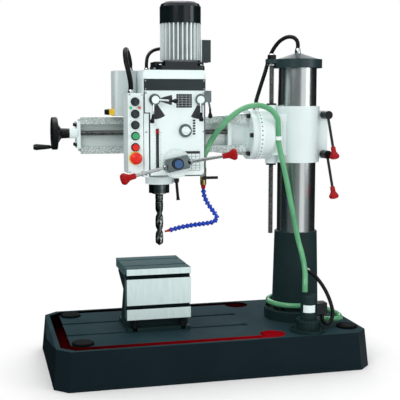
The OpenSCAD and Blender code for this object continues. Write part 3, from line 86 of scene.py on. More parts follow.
def surface(name, base, other, rough, metal=0.0, scale=14.0, stretch=(1, 1, 1), grain=260.0, bump=0.04,
            coat=0.0, spread=0.08, lines=None, shine=0.5):
    """Two tones mixed by a soft cloud, with fine grain in the roughness and the bump.

    lines adds turned or ground lines of (direction, pitch in metres, strength).
    """
    mat = bpy.data.materials.new(name)
    mat.use_nodes = True
    tree = mat.node_tree
    link = tree.links.new
    shader = tree.nodes["Principled BSDF"]
    shader.inputs["Metallic"].default_value = metal
    shader.inputs["Coat Weight"].default_value = coat
    shader.inputs["Specular IOR Level"].default_value = shine
    shader.inputs["Coat Roughness"].default_value = COAT_ROUGHNESS
    place = tree.nodes.new("ShaderNodeTexCoord")
    turn = tree.nodes.new("ShaderNodeMapping")
    turn.inputs["Scale"].default_value = stretch
    link(place.outputs["Object"], turn.inputs["Vector"])
    cloud = tree.nodes.new("ShaderNodeTexNoise")
    cloud.inputs["Scale"].default_value = scale
    cloud.inputs["Detail"].default_value = 5
    link(turn.outputs["Vector"], cloud.inputs["Vector"])
    tones = tree.nodes.new("ShaderNodeValToRGB")
    stops = tones.color_ramp.elements
    for stop, position, colour in zip(stops, (DARK_TONE_AT, LIGHT_TONE_AT), (base, other)):
        stop.position = position
        stop.color = (*colour, 1)
    link(cloud.outputs["Fac"], tones.inputs["Fac"])
    link(tones.outputs["Color"], shader.inputs["Base Color"])
    fine = tree.nodes.new("ShaderNodeTexNoise")
    fine.inputs["Scale"].default_value = grain
    fine.inputs["Detail"].default_value = 3
    link(turn.outputs["Vector"], fine.inputs["Vector"])
    span = tree.nodes.new("ShaderNodeMapRange")
    span.inputs["To Min"].default_value = max(0.02, rough - spread)
    span.inputs["To Max"].default_value = min(1.0, rough + spread)
    link(fine.outputs["Fac"], span.inputs["Value"])
    link(span.outputs["Result"], shader.inputs["Roughness"])
    dent = tree.nodes.new("ShaderNodeBump")
    dent.inputs["Strength"].default_value = bump
    dent.inputs["Distance"].default_value = GRAIN_HEIGHT
    link(fine.outputs["Fac"], dent.inputs["Height"])
    if lines:
        direction, pitch, strength = lines
        wave = tree.nodes.new("ShaderNodeTexWave")
        wave.bands_direction = direction
        wave.inputs["Scale"].default_value = WAVE_LENGTH / pitch
        wave.inputs["Distortion"].default_value = 0.3
        link(place.outputs["Object"], wave.inputs["Vector"])
        ridge = tree.nodes.new("ShaderNodeBump")
        ridge.inputs["Strength"].default_value = strength
        ridge.inputs["Distance"].default_value = LINE_HEIGHT
        link(wave.outputs["Fac"], ridge.inputs["Height"])
        link(dent.outputs["Normal"], ridge.inputs["Normal"])
        dent = ridge
    link(dent.outputs["Normal"], shader.inputs["Normal"])
    return mat


def paint_gutter_shade(mat):
    """Paints shade into the gutter's red: darker towards its left end and its back run."""
    tree = mat.node_tree
    link = tree.links.new
    shader = tree.nodes["Principled BSDF"]
    place = tree.nodes.new("ShaderNodeTexCoord")
    parts = tree.nodes.new("ShaderNodeSeparateXYZ")
    link(place.outputs["Object"], parts.inputs[0])
    product = tree.nodes.new("ShaderNodeMath")
    product.operation = "MULTIPLY"
    for i, (axis, shaded_end, lit_end) in enumerate((("X", -0.56, 0.16), ("Y", 0.1, -0.2))):
        way = tree.nodes.new("ShaderNodeMapRange")
        way.inputs["From Min"].default_value = shaded_end
        way.inputs["From Max"].default_value = lit_end
        way.inputs["To Min"].default_value = 0.06
        link(parts.outputs[axis], way.inputs["Value"])
        link(way.outputs["Result"], product.inputs[i])
    shade = tree.nodes.new("ShaderNodeVectorMath")
    shade.operation = "SCALE"
    link(shader.inputs["Base Color"].links[0].from_socket, shade.inputs[0])
    link(product.outputs[0], shade.inputs["Scale"])
    link(shade.outputs["Vector"], shader.inputs["Base Color"])


# Paints and mouldings
slate = surface("slate_paint", (0.0048, 0.0125, 0.0165), (0.0070, 0.0165, 0.0215), 0.55,
                scale=5, grain=420, bump=0.10, shine=0.05)
deck = surface("deck_paint", (0.015, 0.037, 0.045), (0.024, 0.052, 0.062), 0.60,
               scale=7, grain=380, bump=0.08, shine=0.02)
dark = surface("dark_paint", (0.0085, 0.0235, 0.0255), (0.012, 0.030, 0.032), 0.45,
               scale=9, grain=500, bump=0.06, shine=0.16)
white = surface("white_paint", (0.70, 0.81, 0.81), (0.76, 0.86, 0.855), 0.36,
                scale=6, grain=520, bump=0.06, coat=0.15)
panel_white = surface("panel_white", (0.77, 0.89, 0.88), (0.82, 0.93, 0.92), 0.44,
                      scale=5, grain=600, bump=0.03)
grey = surface("grey_sheet", (0.55, 0.635, 0.64), (0.62, 0.70, 0.705), 0.42,
               scale=8, grain=520, bump=0.05)
red = surface("red_paint", (0.26, 0.0030, 0.007), (0.36, 0.005, 0.012), 0.5,
              scale=16, grain=420, bump=0.06, shine=0.0)
# Painted shade: the gutter's red darkens towards its left end and its back run.
paint_gutter_shade(red)
cap_paint = surface("cap_paint", (0.015, 0.034, 0.039), (0.021, 0.043, 0.049), 0.32,
                    scale=9, grain=500, bump=0.05, shine=0.35)
cowl_black = surface("cowl_black", (0.0028, 0.0066, 0.0084), (0.0050, 0.0100, 0.0124), 0.20,
                     scale=14, grain=600, bump=0.02, coat=0.35, shine=0.3)
plate_dark = surface("plate_dark", (0.014, 0.024, 0.027), (0.022, 0.034, 0.038), 0.34,
                     scale=12, grain=700, bump=0.03, shine=0.3)
# Print ink; the same ink also paints the shadow lines along the front panel's edges.
ink_and_shadow_lines = surface("print_ink_and_shadow_lines", (0.016, 0.020, 0.022), (0.030, 0.035, 0.038), 0.5,
              scale=60, grain=700, bump=0.02)
red_knob = surface("red_knob", (0.29, 0.0032, 0.0045), (0.40, 0.0055, 0.0075), 0.36,
                   scale=30, grain=600, bump=0.03, coat=0.06, shine=0.12)
red_button = surface("red_button", (0.68, 0.012, 0.008), (0.80, 0.022, 0.014), 0.28,
                     scale=30, grain=600, bump=0.02, coat=0.1, shine=0.3)
green_button = surface("green_moulding", (0.02, 0.34, 0.12), (0.03, 0.42, 0.16), 0.25,
                       scale=40, grain=600, bump=0.02, coat=0.4)
yellow = surface("yellow_moulding", (0.78, 0.50, 0.015), (0.84, 0.57, 0.03), 0.34,
                 scale=40, grain=600, bump=0.03)
blue = surface("blue_moulding", (0.004, 0.038, 0.42), (0.008, 0.06, 0.54), 0.30,
               scale=30, grain=600, bump=0.03, coat=0.1, shine=0.3)
blue_cap = surface("blue_cap", (0.010, 0.060, 0.17), (0.022, 0.095, 0.25), 0.28,
                   scale=30, grain=600, bump=0.03, coat=0.3)
black_knob = surface("black_moulding", (0.0036, 0.0050, 0.0055), (0.0065, 0.0082, 0.0090), 0.30,
                     scale=22, grain=650, bump=0.03, coat=0.08, shine=0.2)
grey_moulding = surface("grey_moulding", (0.026, 0.037, 0.040), (0.040, 0.053, 0.057), 0.34,
                        scale=22, grain=650, bump=0.03, shine=0.25)
# Black rubber; the same black is also painted shade on the walls of the pointer slot.
rubber_and_slot_shade = surface("black_rubber_and_slot_shade", (0.0026, 0.0038, 0.0044), (0.0045, 0.0060, 0.0068), 0.55,
                 scale=20, grain=700, bump=0.08, shine=0.03)
jacket = surface("cable_jacket", (0.0034, 0.0046, 0.0050), (0.0064, 0.0080, 0.0085), 0.36,
                 scale=30, grain=600, bump=0.06, shine=0.16)
green = surface("green_hose", (0.085, 0.33, 0.155), (0.135, 0.44, 0.215), 0.24,
                scale=18, grain=500, bump=0.02, coat=0.3)
glow_green = surface("green_lens", (0.03, 0.45, 0.12), (0.05, 0.55, 0.18), 0.14,
                     scale=50, grain=500, bump=0.02, coat=0.6)
glow_red = surface("red_lens", (0.60, 0.015, 0.02), (0.70, 0.03, 0.03), 0.14,
                   scale=50, grain=500, bump=0.02, coat=0.6)

# Metals
chrome = surface("hard_chrome", (0.58, 0.62, 0.62), (0.64, 0.68, 0.68), 0.24, 1.0,
                 scale=3, stretch=(1, 1, 2), grain=900, bump=0.003, spread=0.03, lines=("Z", 0.0022, 0.02))
rod_steel = surface("rod_steel", (0.40, 0.43, 0.43), (0.48, 0.51, 0.51), 0.22, 1.0,
                    scale=30, grain=800, bump=0.002, spread=0.03)
bright = surface("bright_steel", (0.62, 0.65, 0.66), (0.72, 0.75, 0.755), 0.20, 1.0,
                 scale=40, grain=800, bump=0.008, spread=0.05)
hub_steel = surface("hub_steel", (0.095, 0.13, 0.14), (0.19, 0.23, 0.238), 0.20, 1.0,
                    scale=26, grain=700, bump=0.006, spread=0.05)
black_steel = surface("black_steel", (0.0070, 0.0088, 0.0095), (0.0130, 0.0150, 0.0160), 0.34, 0.3,
                      scale=60, grain=600, bump=0.05, shine=0.3)
drill_steel = surface("drill_steel", (0.085, 0.105, 0.102), (0.20, 0.235, 0.23), 0.20, 1.0,
                      scale=50, grain=500, bump=0.02)
thread = surface("thread_steel", (0.030, 0.032, 0.032), (0.26, 0.275, 0.27), 0.34, 0.8,
                 scale=190, grain=500, bump=0.05)
ground = surface("ground_steel", (0.30, 0.36, 0.35), (0.80, 0.90, 0.88), 0.42, 0.35,
                 scale=210, grain=160, bump=0.08)
rail_steel = surface("rail_steel", (0.48, 0.56, 0.545), (0.80, 0.90, 0.88), 0.30, 0.35,
                     scale=5, stretch=(0.4, 1, 7), grain=260, bump=0.02)
milled = surface("milled_iron", (0.70, 0.86, 0.85), (0.79, 0.94, 0.93), 0.40, 0.2,
                 scale=18, stretch=(6, 1, 1), grain=300, bump=0.05, lines=("X", 0.004, 0.06))
planed = surface("planed_iron", (0.050, 0.098, 0.105), (0.072, 0.125, 0.132), 0.55,
                 scale=14, stretch=(1, 5, 1), grain=300, bump=0.05, lines=("Y", 0.004, 0.05), shine=0.03)
alloy = surface("cast_alloy", (0.78, 0.87, 0.86), (0.86, 0.94, 0.93), 0.40, 0.25,
                scale=24, grain=420, bump=0.05)
alloy_deep = surface("alloy_in_shade", (0.17, 0.205, 0.205), (0.25, 0.29, 0.29), 0.5, 0.2,
                     scale=24, grain=420, bump=0.06, shine=0.2)
brass = surface("turned_brass", (0.62, 0.43, 0.15), (0.78, 0.57, 0.23), 0.28, 1.0,
                scale=40, grain=600, bump=0.04)

# Makers of pieces
AXIS_TURNS = {
    "Z": Matrix.Identity(4),
    "X": Matrix.Rotation(math.pi / 2, 4, "Y"),
    "-Y": Matrix.Rotation(math.pi / 2, 4, "X"),
}
CORE = 0.1


def show(name, mesh):
    """An object for a mesh, in the scene."""
    obj = bpy.data.objects.new(name, mesh)
    scene.collection.objects.link(obj)
    return obj


def outward(mesh):
    """Turns all faces of a closed mesh outwards."""
    bm = bmesh.new()
    bm.from_mesh(mesh)
    bmesh.ops.recalc_face_normals(bm, faces=bm.faces[:])
    bm.to_mesh(mesh)
    bm.free()


def facet(obj):
    """Shades a piece flat."""
    for face in obj.data.polygons:
        face.use_smooth = False


def skin(name, verts, faces, mat):
    """A smooth mesh from points in mm and faces."""
    mesh = bpy.data.meshes.new(name)
    mesh.from_pydata([Vector(v) * MM for v in verts], [], faces)
    mesh.materials.append(mat)
    for face in mesh.polygons:
        face.use_smooth = True
    mesh.update()
    return show(name, mesh)


def rings(name, loops, mat):
    """A closed skin through loops of equal length, each a list of points in mm."""
    n = len(loops[0])
    verts = [p for loop in loops for p in loop]
    faces = []
    for i in range(len(loops) - 1):
        for k in range(n):
            a, b = i * n + k, i * n + (k + 1) % n
            faces.append((a, b, b + n, a + n))
    faces.append(tuple(reversed(range(n))))
    faces.append(tuple(range((len(loops) - 1) * n, len(loops) * n)))
    return skin(name, verts, faces, mat)


def at(x, y, z, axis="Z"):
    """The place of a turned piece, whose own Z lies along the named axis."""
    return Matrix.Translation((x, y, z)) @ AXIS_TURNS[axis]


def turned(name, profile, place, mat, sides=48):
    """A lathe form: profile of (radius, height), put in place by a matrix whose Z is its axis."""
    angles = [2 * math.pi * k / sides for k in range(sides)]
    loops = [[place @ Vector((r * math.cos(a), r * math.sin(a), h)) for a in angles] for r, h in profile]
    return rings(name, loops, mat)


def slab(name, low, high, mat, round_off=0.6, segments=2):
    """A flat plate or block with rounded edges."""
    bm = bmesh.new()
    bmesh.ops.create_cube(bm, size=1)
    size = [h - l for l, h in zip(low, high)]
    for v in bm.verts:
        v.co = Vector([(l + s * (c + 0.5)) * MM for l, s, c in zip(low, size, v.co)])
    radius = min(round_off, min(size) * 0.45) * MM
    bmesh.ops.bevel(bm, geom=bm.edges[:], offset=radius, segments=segments, profile=0.5, affect="EDGES")
    mesh = bpy.data.meshes.new(name)
    bm.to_mesh(mesh)
    bm.free()
    mesh.materials.append(mat)
    return show(name, mesh)


def seat(obj, body, node=None):
    """Puts a piece on its body, and in place of a CAD node where it stands for one."""
    if node:
        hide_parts(node)
    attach(obj, body)


# Node trees for what follows a path and what repeats
def group_tree(name, sockets):
    """An empty tree with named inputs."""
    tree = bpy.data.node_groups.new(name, "GeometryNodeTree")
    tree.interface.new_socket("Geometry", in_out="INPUT", socket_type="NodeSocketGeometry")
    for label, kind in sockets:
        tree.interface.new_socket(label, in_out="INPUT", socket_type=kind)
    tree.interface.new_socket("Geometry", in_out="OUTPUT", socket_type="NodeSocketGeometry")
    return tree, tree.nodes.new("NodeGroupInput"), tree.nodes.new("NodeGroupOutput")


def make_tube_tree():
    """Follows a line of points with a round tube."""
    tree, start, end = group_tree("tube_along", [
        ("Radius", "NodeSocketFloat"), ("Sides", "NodeSocketInt"), ("Material", "NodeSocketMaterial")])
    link = tree.links.new
    curve = tree.nodes.new("GeometryNodeMeshToCurve")
    ring = tree.nodes.new("GeometryNodeCurvePrimitiveCircle")
    wall = tree.nodes.new("GeometryNodeCurveToMesh")
    wall.inputs["Fill Caps"].default_value = True
    smooth = tree.nodes.new("GeometryNodeSetShadeSmooth")
    real = tree.nodes.new("GeometryNodeRealizeInstances")
    paint = tree.nodes.new("GeometryNodeSetMaterial")
    link(start.outputs["Geometry"], curve.inputs["Mesh"])
    link(start.outputs["Radius"], ring.inputs["Radius"])
    link(start.outputs["Sides"], ring.inputs["Resolution"])
    link(curve.outputs["Curve"], wall.inputs["Curve"])
    link(ring.outputs["Curve"], wall.inputs["Profile Curve"])
    link(wall.outputs["Mesh"], smooth.inputs["Geometry"])
    link(smooth.outputs["Geometry"], real.inputs["Geometry"])
    link(real.outputs["Geometry"], paint.inputs["Geometry"])
    link(start.outputs["Material"], paint.inputs["Material"])
    link(paint.outputs["Geometry"], end.inputs["Geometry"])
    return tree


def make_repeat_tree():
    """Puts a copy of a piece on every point, turned and sized by the point's attributes."""
    tree, start, end = group_tree("repeat_on", [
        ("Piece", "NodeSocketObject"), ("Material", "NodeSocketMaterial")])
    link = tree.links.new
    piece = tree.nodes.new("GeometryNodeObjectInfo")
    copies = tree.nodes.new("GeometryNodeInstanceOnPoints")
    real = tree.nodes.new("GeometryNodeRealizeInstances")
    paint = tree.nodes.new("GeometryNodeSetMaterial")
    link(start.outputs["Geometry"], copies.inputs["Points"])
    link(start.outputs["Piece"], piece.inputs["Object"])
    link(piece.outputs["Geometry"], copies.inputs["Instance"])
    for label, socket in (("turn", "Rotation"), ("size", "Scale")):
        read = tree.nodes.new("GeometryNodeInputNamedAttribute")
        read.data_type = "FLOAT_VECTOR"
        read.inputs["Name"].default_value = label
        link(read.outputs["Attribute"], copies.inputs[socket])
    link(copies.outputs["Instances"], real.inputs["Geometry"])
    link(real.outputs["Geometry"], paint.inputs["Geometry"])
    link(start.outputs["Material"], paint.inputs["Material"])
    link(paint.outputs["Geometry"], end.inputs["Geometry"])
    return tree


tube_tree = make_tube_tree()
repeat_tree = make_repeat_tree()


def grow(obj, tree, values):
    """Runs a node tree on an object with named inputs and keeps the mesh that it makes."""
    modifier = obj.modifiers.new("grow", "NODES")
    modifier.node_group = tree
    for item in tree.interface.items_tree:
        if item.in_out == "INPUT" and item.name in values:
            modifier[item.identifier] = values[item.name]
    bpy.context.view_layer.update()
    made = bpy.data.meshes.new_from_object(obj.evaluated_get(bpy.context.evaluated_depsgraph_get()))
    obj.modifiers.remove(modifier)
    outward(made)
    obj.data = made
    return obj


def tube(name, path, radius, mat, sides=16):
    """A round cord along a path in mm."""
    mesh = bpy.data.meshes.new(name)
    mesh.from_pydata([p * MM for p in path], [(i, i + 1) for i in range(len(path) - 1)], [])
    return grow(show(name, mesh), tube_tree, {"Radius": radius * MM, "Sides": sides, "Material": mat})


def repeat(name, piece, spots, mat):
    """Copies of piece at spots of (place, turn, size); the pattern piece itself is removed."""
    mesh = bpy.data.meshes.new(name)
    mesh.from_pydata([Vector(p) * MM for p, _, _ in spots], [], [])
    for label, which in (("turn", 1), ("size", 2)):
        values = mesh.attributes.new(label, "FLOAT_VECTOR", "POINT")
        for i, spot in enumerate(spots):
            values.data[i].vector = spot[which]
    obj = grow(show(name, mesh), repeat_tree, {"Piece": piece, "Material": mat})
    bpy.data.objects.remove(piece)
    return obj


# Paths
def length_of(path):
    return sum((b - a).length for a, b in zip(path, path[1:]))


def evenly(path, count):
    """The same path as count points at equal distances."""
    whole = length_of(path)
    out, walked, i = [path[0]], 0.0, 0
    for k in range(1, count - 1):
        goal = whole * k / (count - 1)
        while walked + (path[i + 1] - path[i]).length < goal:
            walked += (path[i + 1] - path[i]).length
            i += 1
        share = (goal - walked) / (path[i + 1] - path[i]).length
        out.append(path[i].lerp(path[i + 1], share))
    return out + [path[-1]]


def smooth_path(points, step=3.0):
    """A centripetal spline through given points, as points about one step apart."""
    p = [Vector(q) for q in points]
    p = [p[0] * 2 - p[1]] + p + [p[-1] * 2 - p[-2]]
    out = []
    for i in range(1, len(p) - 2):
        a, b, c, d = p[i - 1:i + 3]
        t0 = 0.0
        t1 = t0 + (b - a).length ** 0.5
        t2 = t1 + (c - b).length ** 0.5
        t3 = t2 + (d - c).length ** 0.5
        count = max(2, round((c - b).length / step))
        for k in range(count):
            t = t1 + (t2 - t1) * k / count
            a1 = a * ((t1 - t) / (t1 - t0)) + b * ((t - t0) / (t1 - t0))
            a2 = b * ((t2 - t) / (t2 - t1)) + c * ((t - t1) / (t2 - t1))
            a3 = c * ((t3 - t) / (t3 - t2)) + d * ((t - t2) / (t3 - t2))
            b1 = a1 * ((t2 - t) / (t2 - t0)) + a2 * ((t - t0) / (t2 - t0))
            b2 = a2 * ((t3 - t) / (t3 - t1)) + a3 * ((t - t1) / (t3 - t1))
            out.append(b1 * ((t2 - t) / (t2 - t1)) + b2 * ((t - t1) / (t2 - t1)))
    out.append(p[-2])
    return out


def nearest(path, point):
    """The number of the path's point that is nearest to a place."""
    return min(range(len(path)), key=lambda i: (path[i] - Vector(point)).length)


# Cords: the routes of the CAD source
CORD_POINTS = 36
HOSE_D, SUPPLY_D, PUMP_CABLE_D, CONDUIT_D, MOTOR_CABLE_D = 20, 15, 14, 17, 12


def fixed_cord(name, body, points, diameter, mat):
    """A cord with both ends on one body."""
    path = evenly(smooth_path(points), CORD_POINTS)
    obj = tube(name + "_skin", path, diameter / 2, mat)
    seat(obj, body, name)


def bent_cord(name, node, path, diameter, mat, stretches):
    """A cord that crosses joints, in stretches of (first, last, body it starts on, body it ends on); the two
    bodies are not used.

    A fifth value is the place where a stretch starts to follow its second body; it is not used.
    """
    for i, (first, last, a, b, *late) in enumerate(stretches):
        part = evenly(path[first:last + 1], CORD_POINTS)
        obj = tube(f"{name}_{i}", part, diameter / 2, mat)
        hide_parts(node)
        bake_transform(obj)


fixed_cord("pump_cable", "base", [
    (404, -222, 188), (404, -222, 176), (409, -222, 163), (422, -221, 155), (440, -217, 164),
    (451, -207, 190), (450, -190, 222), (441, -168, 260), (424, -144, 296), (404, -124, 322),
    (389, -114, 330), (389, -104, 330)], PUMP_CABLE_D, jacket)
fixed_cord("drain_hose", "base", [
    (378, 100, 198), (360, 100, 198), (320, 85, 198), (290, 52, 198), (276, 0, 198), (290, -52, 198),
    (320, -85, 198), (365, -101, 198), (404, -104, 199), (444, -102, 190), (480, -112, 176),
    (502, -134, 166), (500, -162, 160), (474, -182, 162), (432, -185, 164), (410, -185, 164)],
    HOSE_D, green)
fixed_cord("conduit", "head", [
    (-284, -160, 1003), (-284, -160, 1020), (-289, -157, 1056), (-297, -146, 1098), (-296, -122, 1132),
    (-286, -88, 1142), (-273, -52, 1124), (-264, -30, 1098), (-264, -30, 1081)],
    CONDUIT_D, jacket)
fixed_cord("motor_cable", "head", [
    (-216, -92, 1080), (-216, -92, 1096), (-208, -78, 1122), (-184, -56, 1142), (-148, -46, 1150),
    (-104, -44, 1150), (-62, -48, 1148), (-32, -60, 1142), (-20, -80, 1140), (-20, -96, 1140)],
    MOTOR_CABLE_D, jacket)

BELOW_SLEEVE, SLEEVE_CLIP, OVER_ARM = (330, -100, 556), (276, -86, 828), (162, -78, 944)
PAST_RING = (222, -80, 943)
hose = smooth_path([
    (338, -216, 278), (338, -216, 300), (345, -197, 336), (354, -160, 372), (356, -126, 410),
    (350, -108, 450), (342, -102, 496), (330, -100, 556), (317, -99, 616), (304, -98, 680), (290, -94, 744),
    (279, -88, 796), (276, -86, 821), (276, -86, 835), (274, -88, 870), (268, -92, 904), (246, -84, 932),
    (206, -78, 948), (162, -78, 944), (124, -82, 928), (88, -84, 902), (54, -84, 866), (24, -86, 828),
    (2, -96, 790), (-14, -114, 766), (-20, -128, 746), (-20, -128, 728)])
low, clip, over = (nearest(hose, p) for p in (BELOW_SLEEVE, SLEEVE_CLIP, OVER_ARM))
bent_cord("coolant_hose_run", "coolant_hose", hose, HOSE_D, green, [
    (0, low, "base", "swing"), (low, clip, "swing", "sleeve"), (clip, over, "sleeve", "arm", PAST_RING),
    (over, len(hose) - 1, "arm", "head")])
supply = smooth_path([
    (379, 0, 1161), (379, 0, 1180), (370, 6, 1198), (348, 20, 1204), (322, 36, 1190), (300, 52, 1158),
    (284, 60, 1116), (270, 60, 1070), (252, 56, 1020), (238, 52, 980), (232, 50, 961), (232, 50, 946)])
bent_cord("supply_cable_run", "supply_cable", supply, SUPPLY_D, jacket, [
    (0, len(supply) - 1, "swing", "sleeve")])

# Studio: pale floor, white backdrop, soft light
WHITE = (1, 1, 1, 1)
FLOOR_HALF, FLOOR_THICK = 9000, 20
SHADOW_KEPT_TO, FLOOR_WHITE_FROM = 0.58, 1.3
SOFT_LIGHT = 0.66
FLAG_NEAR, FLAG_FAR, FLAG_LIFT, FLAG_TOP = 800, 7000, 2, 5500


def math_node(tree, operation, first, second):
    """A math node on two sockets; gives its result."""
    node = tree.nodes.new("ShaderNodeMath")
    node.operation = operation
    tree.links.new(first, node.inputs[0])
    tree.links.new(second, node.inputs[1])
    return node.outputs[0]


def mix_shaders(tree, share, first, second):
    """A mix of two shaders by a share; gives its result."""
    node = tree.nodes.new("ShaderNodeMixShader")
    tree.links.new(share, node.inputs[0])
    tree.links.new(first, node.inputs[1])
    tree.links.new(second, node.inputs[2])
    return node.outputs[0]


def floor_paper():
    """Pale paper that keeps the shadow near the machine and is white further out, seen or mirrored."""
    mat = surface("studio_floor", (0.95, 0.95, 0.95), (0.97, 0.97, 0.97), 0.6,
                  scale=1.5, grain=60, bump=0.0, shine=0.0)
    tree = mat.node_tree
    place = tree.nodes.new("ShaderNodeTexCoord")
    reach = tree.nodes.new("ShaderNodeVectorMath")
    reach.operation = "LENGTH"
    fade = tree.nodes.new("ShaderNodeMapRange")
    fade.interpolation_type = "SMOOTHSTEP"
    fade.inputs["From Min"].default_value = SHADOW_KEPT_TO
    fade.inputs["From Max"].default_value = FLOOR_WHITE_FROM
    tree.links.new(place.outputs["Object"], reach.inputs[0])
    tree.links.new(reach.outputs["Value"], fade.inputs["Value"])
    ray = tree.nodes.new("ShaderNodeLightPath")
    seen = math_node(tree, "MAXIMUM", ray.outputs["Is Camera Ray"], ray.outputs["Is Glossy Ray"])
    share = math_node(tree, "MULTIPLY", seen, fade.outputs["Result"])
    paper = tree.nodes.new("ShaderNodeEmission")
    paper.inputs["Color"].default_value = WHITE
    mixed = mix_shaders(tree, share, tree.nodes["Principled BSDF"].outputs[0], paper.outputs[0])
    tree.links.new(mixed, tree.nodes["Material Output"].inputs["Surface"])
    return mat


def light_world():
    """Soft light all round, with a white backdrop for what is seen, mirrored or seen through."""
    world = bpy.data.worlds.new("studio")
    scene.world = world
    world.use_nodes = True
    tree = world.node_tree
    soft = tree.nodes["Background"]
    soft.inputs["Color"].default_value = WHITE
    soft.inputs["Strength"].default_value = SOFT_LIGHT
    backdrop = tree.nodes.new("ShaderNodeBackground")
    backdrop.inputs["Color"].default_value = WHITE
    backdrop.inputs["Strength"].default_value = 1.0
    ray = tree.nodes.new("ShaderNodeLightPath")
    seen = math_node(tree, "MAXIMUM", ray.outputs["Is Camera Ray"], ray.outputs["Is Glossy Ray"])
    seen = math_node(tree, "MAXIMUM", seen, ray.outputs["Is Transmission Ray"])
    mixed = mix_shaders(tree, seen, soft.outputs[0], backdrop.outputs[0])
    tree.links.new(mixed, tree.nodes["World Output"].inputs["Surface"])


def lamp(name, place, target, size, power):
    """A rectangular lamp that faces its target."""
    data = bpy.data.lights.new(name, "AREA")
    data.shape = "RECTANGLE"
    data.size, data.size_y = size
    data.energy = power
    obj = bpy.data.objects.new(name, data)
    obj.location = place
    obj.rotation_euler = (Vector(target) - Vector(place)).to_track_quat("-Z", "Y").to_euler()
    scene.collection.objects.link(obj)


def flag(name, first, last, tone, steps=16):
    """A dark card that only bright metal mirrors, from one bearing to the other, measured from the camera's.

    It lies along the floor and stands upright far outside the picture.
    """
    verts, faces = [], []
    for k in range(steps + 1):
        a = math.radians(CAMERA_BEARING + first + (last - first) * k / steps)
        for reach, z in ((FLAG_NEAR, FLAG_LIFT), (FLAG_FAR, FLAG_LIFT), (FLAG_FAR, FLAG_TOP)):
            verts.append((reach * math.cos(a) + COLUMN_X, reach * math.sin(a), z))
    for k in range(steps):
        for corner in (3 * k, 3 * k + 1):
            faces.append((corner, corner + 1, corner + 4, corner + 3))
    card = skin(name, verts, faces, surface(name + "_cloth", tone, tone, 0.9, bump=0.0, shine=0.0))
    card.visible_camera = False
    card.visible_diffuse = False
    card.visible_shadow = False
    card.visible_transmission = False


floor = slab("studio_floor", (-FLOOR_HALF, -FLOOR_HALF, -FLOOR_THICK), (FLOOR_HALF, FLOOR_HALF, 0),
             floor_paper())
light_world()
flag("flag_left", -178, -58, (0.010, 0.016, 0.016))
flag("flag_middle", -58, -12, (0.10, 0.12, 0.12))
flag("flag_near", -12, 16, (0.30, 0.33, 0.33))
flag("flag_between", 46, 76, (0.20, 0.22, 0.22))
flag("flag_right", 76, 178, (0.012, 0.017, 0.017))
lamp("key", (-2.2, -2.8, 2.6), (0, 0, 0.7), (1.6, 1.6), 46)
lamp("fill", (2.6, -2.2, 1.6), (0.2, 0, 0.7), (1.2, 2.0), 21)
lamp("top", (0.1, 0.4, 3.2), (0, 0, 0.6), (2.4, 1.6), 26)
lamp("back", (0.8, 2.6, 1.8), (0, 0, 0.8), (2.2, 1.6), 18)


# CAD nodes keep their shape and get their finish by region
def dress(name, base, *rules):
    """Gives a CAD node its material, and other materials to the faces that pass a test.

    A test gets a face's middle in mm and its normal; the first rule that holds counts.
    """
    mesh = nodes[name].data
    mesh.materials.clear()
    mesh.materials.append(base)
    for mat, _ in rules:
        mesh.materials.append(mat)
    for face in mesh.polygons:
        face.material_index = 0
        for i, (_, test) in enumerate(rules):
            if test(face.center * 1000, face.normal):
                face.material_index = i + 1
                break


def soften(name, width):
    """Rounds the sharp edges of a CAD node, by a width in mm, so that they catch the light."""
    weld = nodes[name].modifiers.new("weld", "WELD")
    weld.merge_threshold = 0.00002
    bevel = nodes[name].modifiers.new("bevel", "BEVEL")
    bevel.width = width * MM
    bevel.segments = 2
    bevel.limit_method = "ANGLE"
    bevel.angle_limit = math.radians(40)
    bevel.harden_normals = True


def below(axis, limit):
    return lambda c, n: getattr(c, axis) < limit


def above(axis, limit):
    return lambda c, n: getattr(c, axis) > limit


def between(axis, low, high):
    return lambda c, n: low < getattr(c, axis) < high


def near(axis, middle, reach):
    return between(axis, middle - reach, middle + reach)


def within(x, z, radius):
    """Faces nearer than a radius to an axis that runs from front to back."""
    return lambda c, n: math.hypot(c.x - x, c.z - z) < radius


def beyond(x, z, radius):
    return lambda c, n: math.hypot(c.x - x, c.z - z) > radius


def both(*tests):
    return lambda c, n: all(test(c, n) for test in tests)


def either(*tests):
    return lambda c, n: any(test(c, n) for test in tests)


def faces_front(c, n):
    return n.y < -0.9


def faces_back(c, n):
    return n.y > 0.9


# Base, column and table
DECK_FROM = 100
GUTTER_LEFT, GUTTER_RIGHT, GUTTER_SIDE = -500, 270, 180
GLAND_FRONT, GLAND_LOW, GLAND_HIGH = -90, 315, 345
FOOT_BOLTS_LOW, FOOT_BOLTS_HIGH, FOOT_R = 175.2, 190, 92
PUMP_BOX_LEFT, PUMP_BOX_LOW = 381, 186
TABLE_FRONT, TABLE_BACK, TABLE_FACE_LOW = -95, 150, 179
TABLE_FOOT_TOP, TABLE_LEG_FRONT, TABLE_LEG_TOP = 182, -50, 333
TABLE_SLOTS, SLOT_REACH, SLOT_MOUTH, SLOT_END = (336, 226), 16, -96.5, -60


def in_gutter(c, n):
    beside = c.x < GUTTER_LEFT or abs(c.y) > GUTTER_SIDE
    return DECK_Z - 14 < c.z < DECK_Z - 0.1 and beside and c.x < GUTTER_RIGHT


def on_foot_bolts(c, n):
    return FOOT_BOLTS_LOW < c.z < FOOT_BOLTS_HIGH and math.hypot(c.x - COLUMN_X, c.y) > FOOT_R


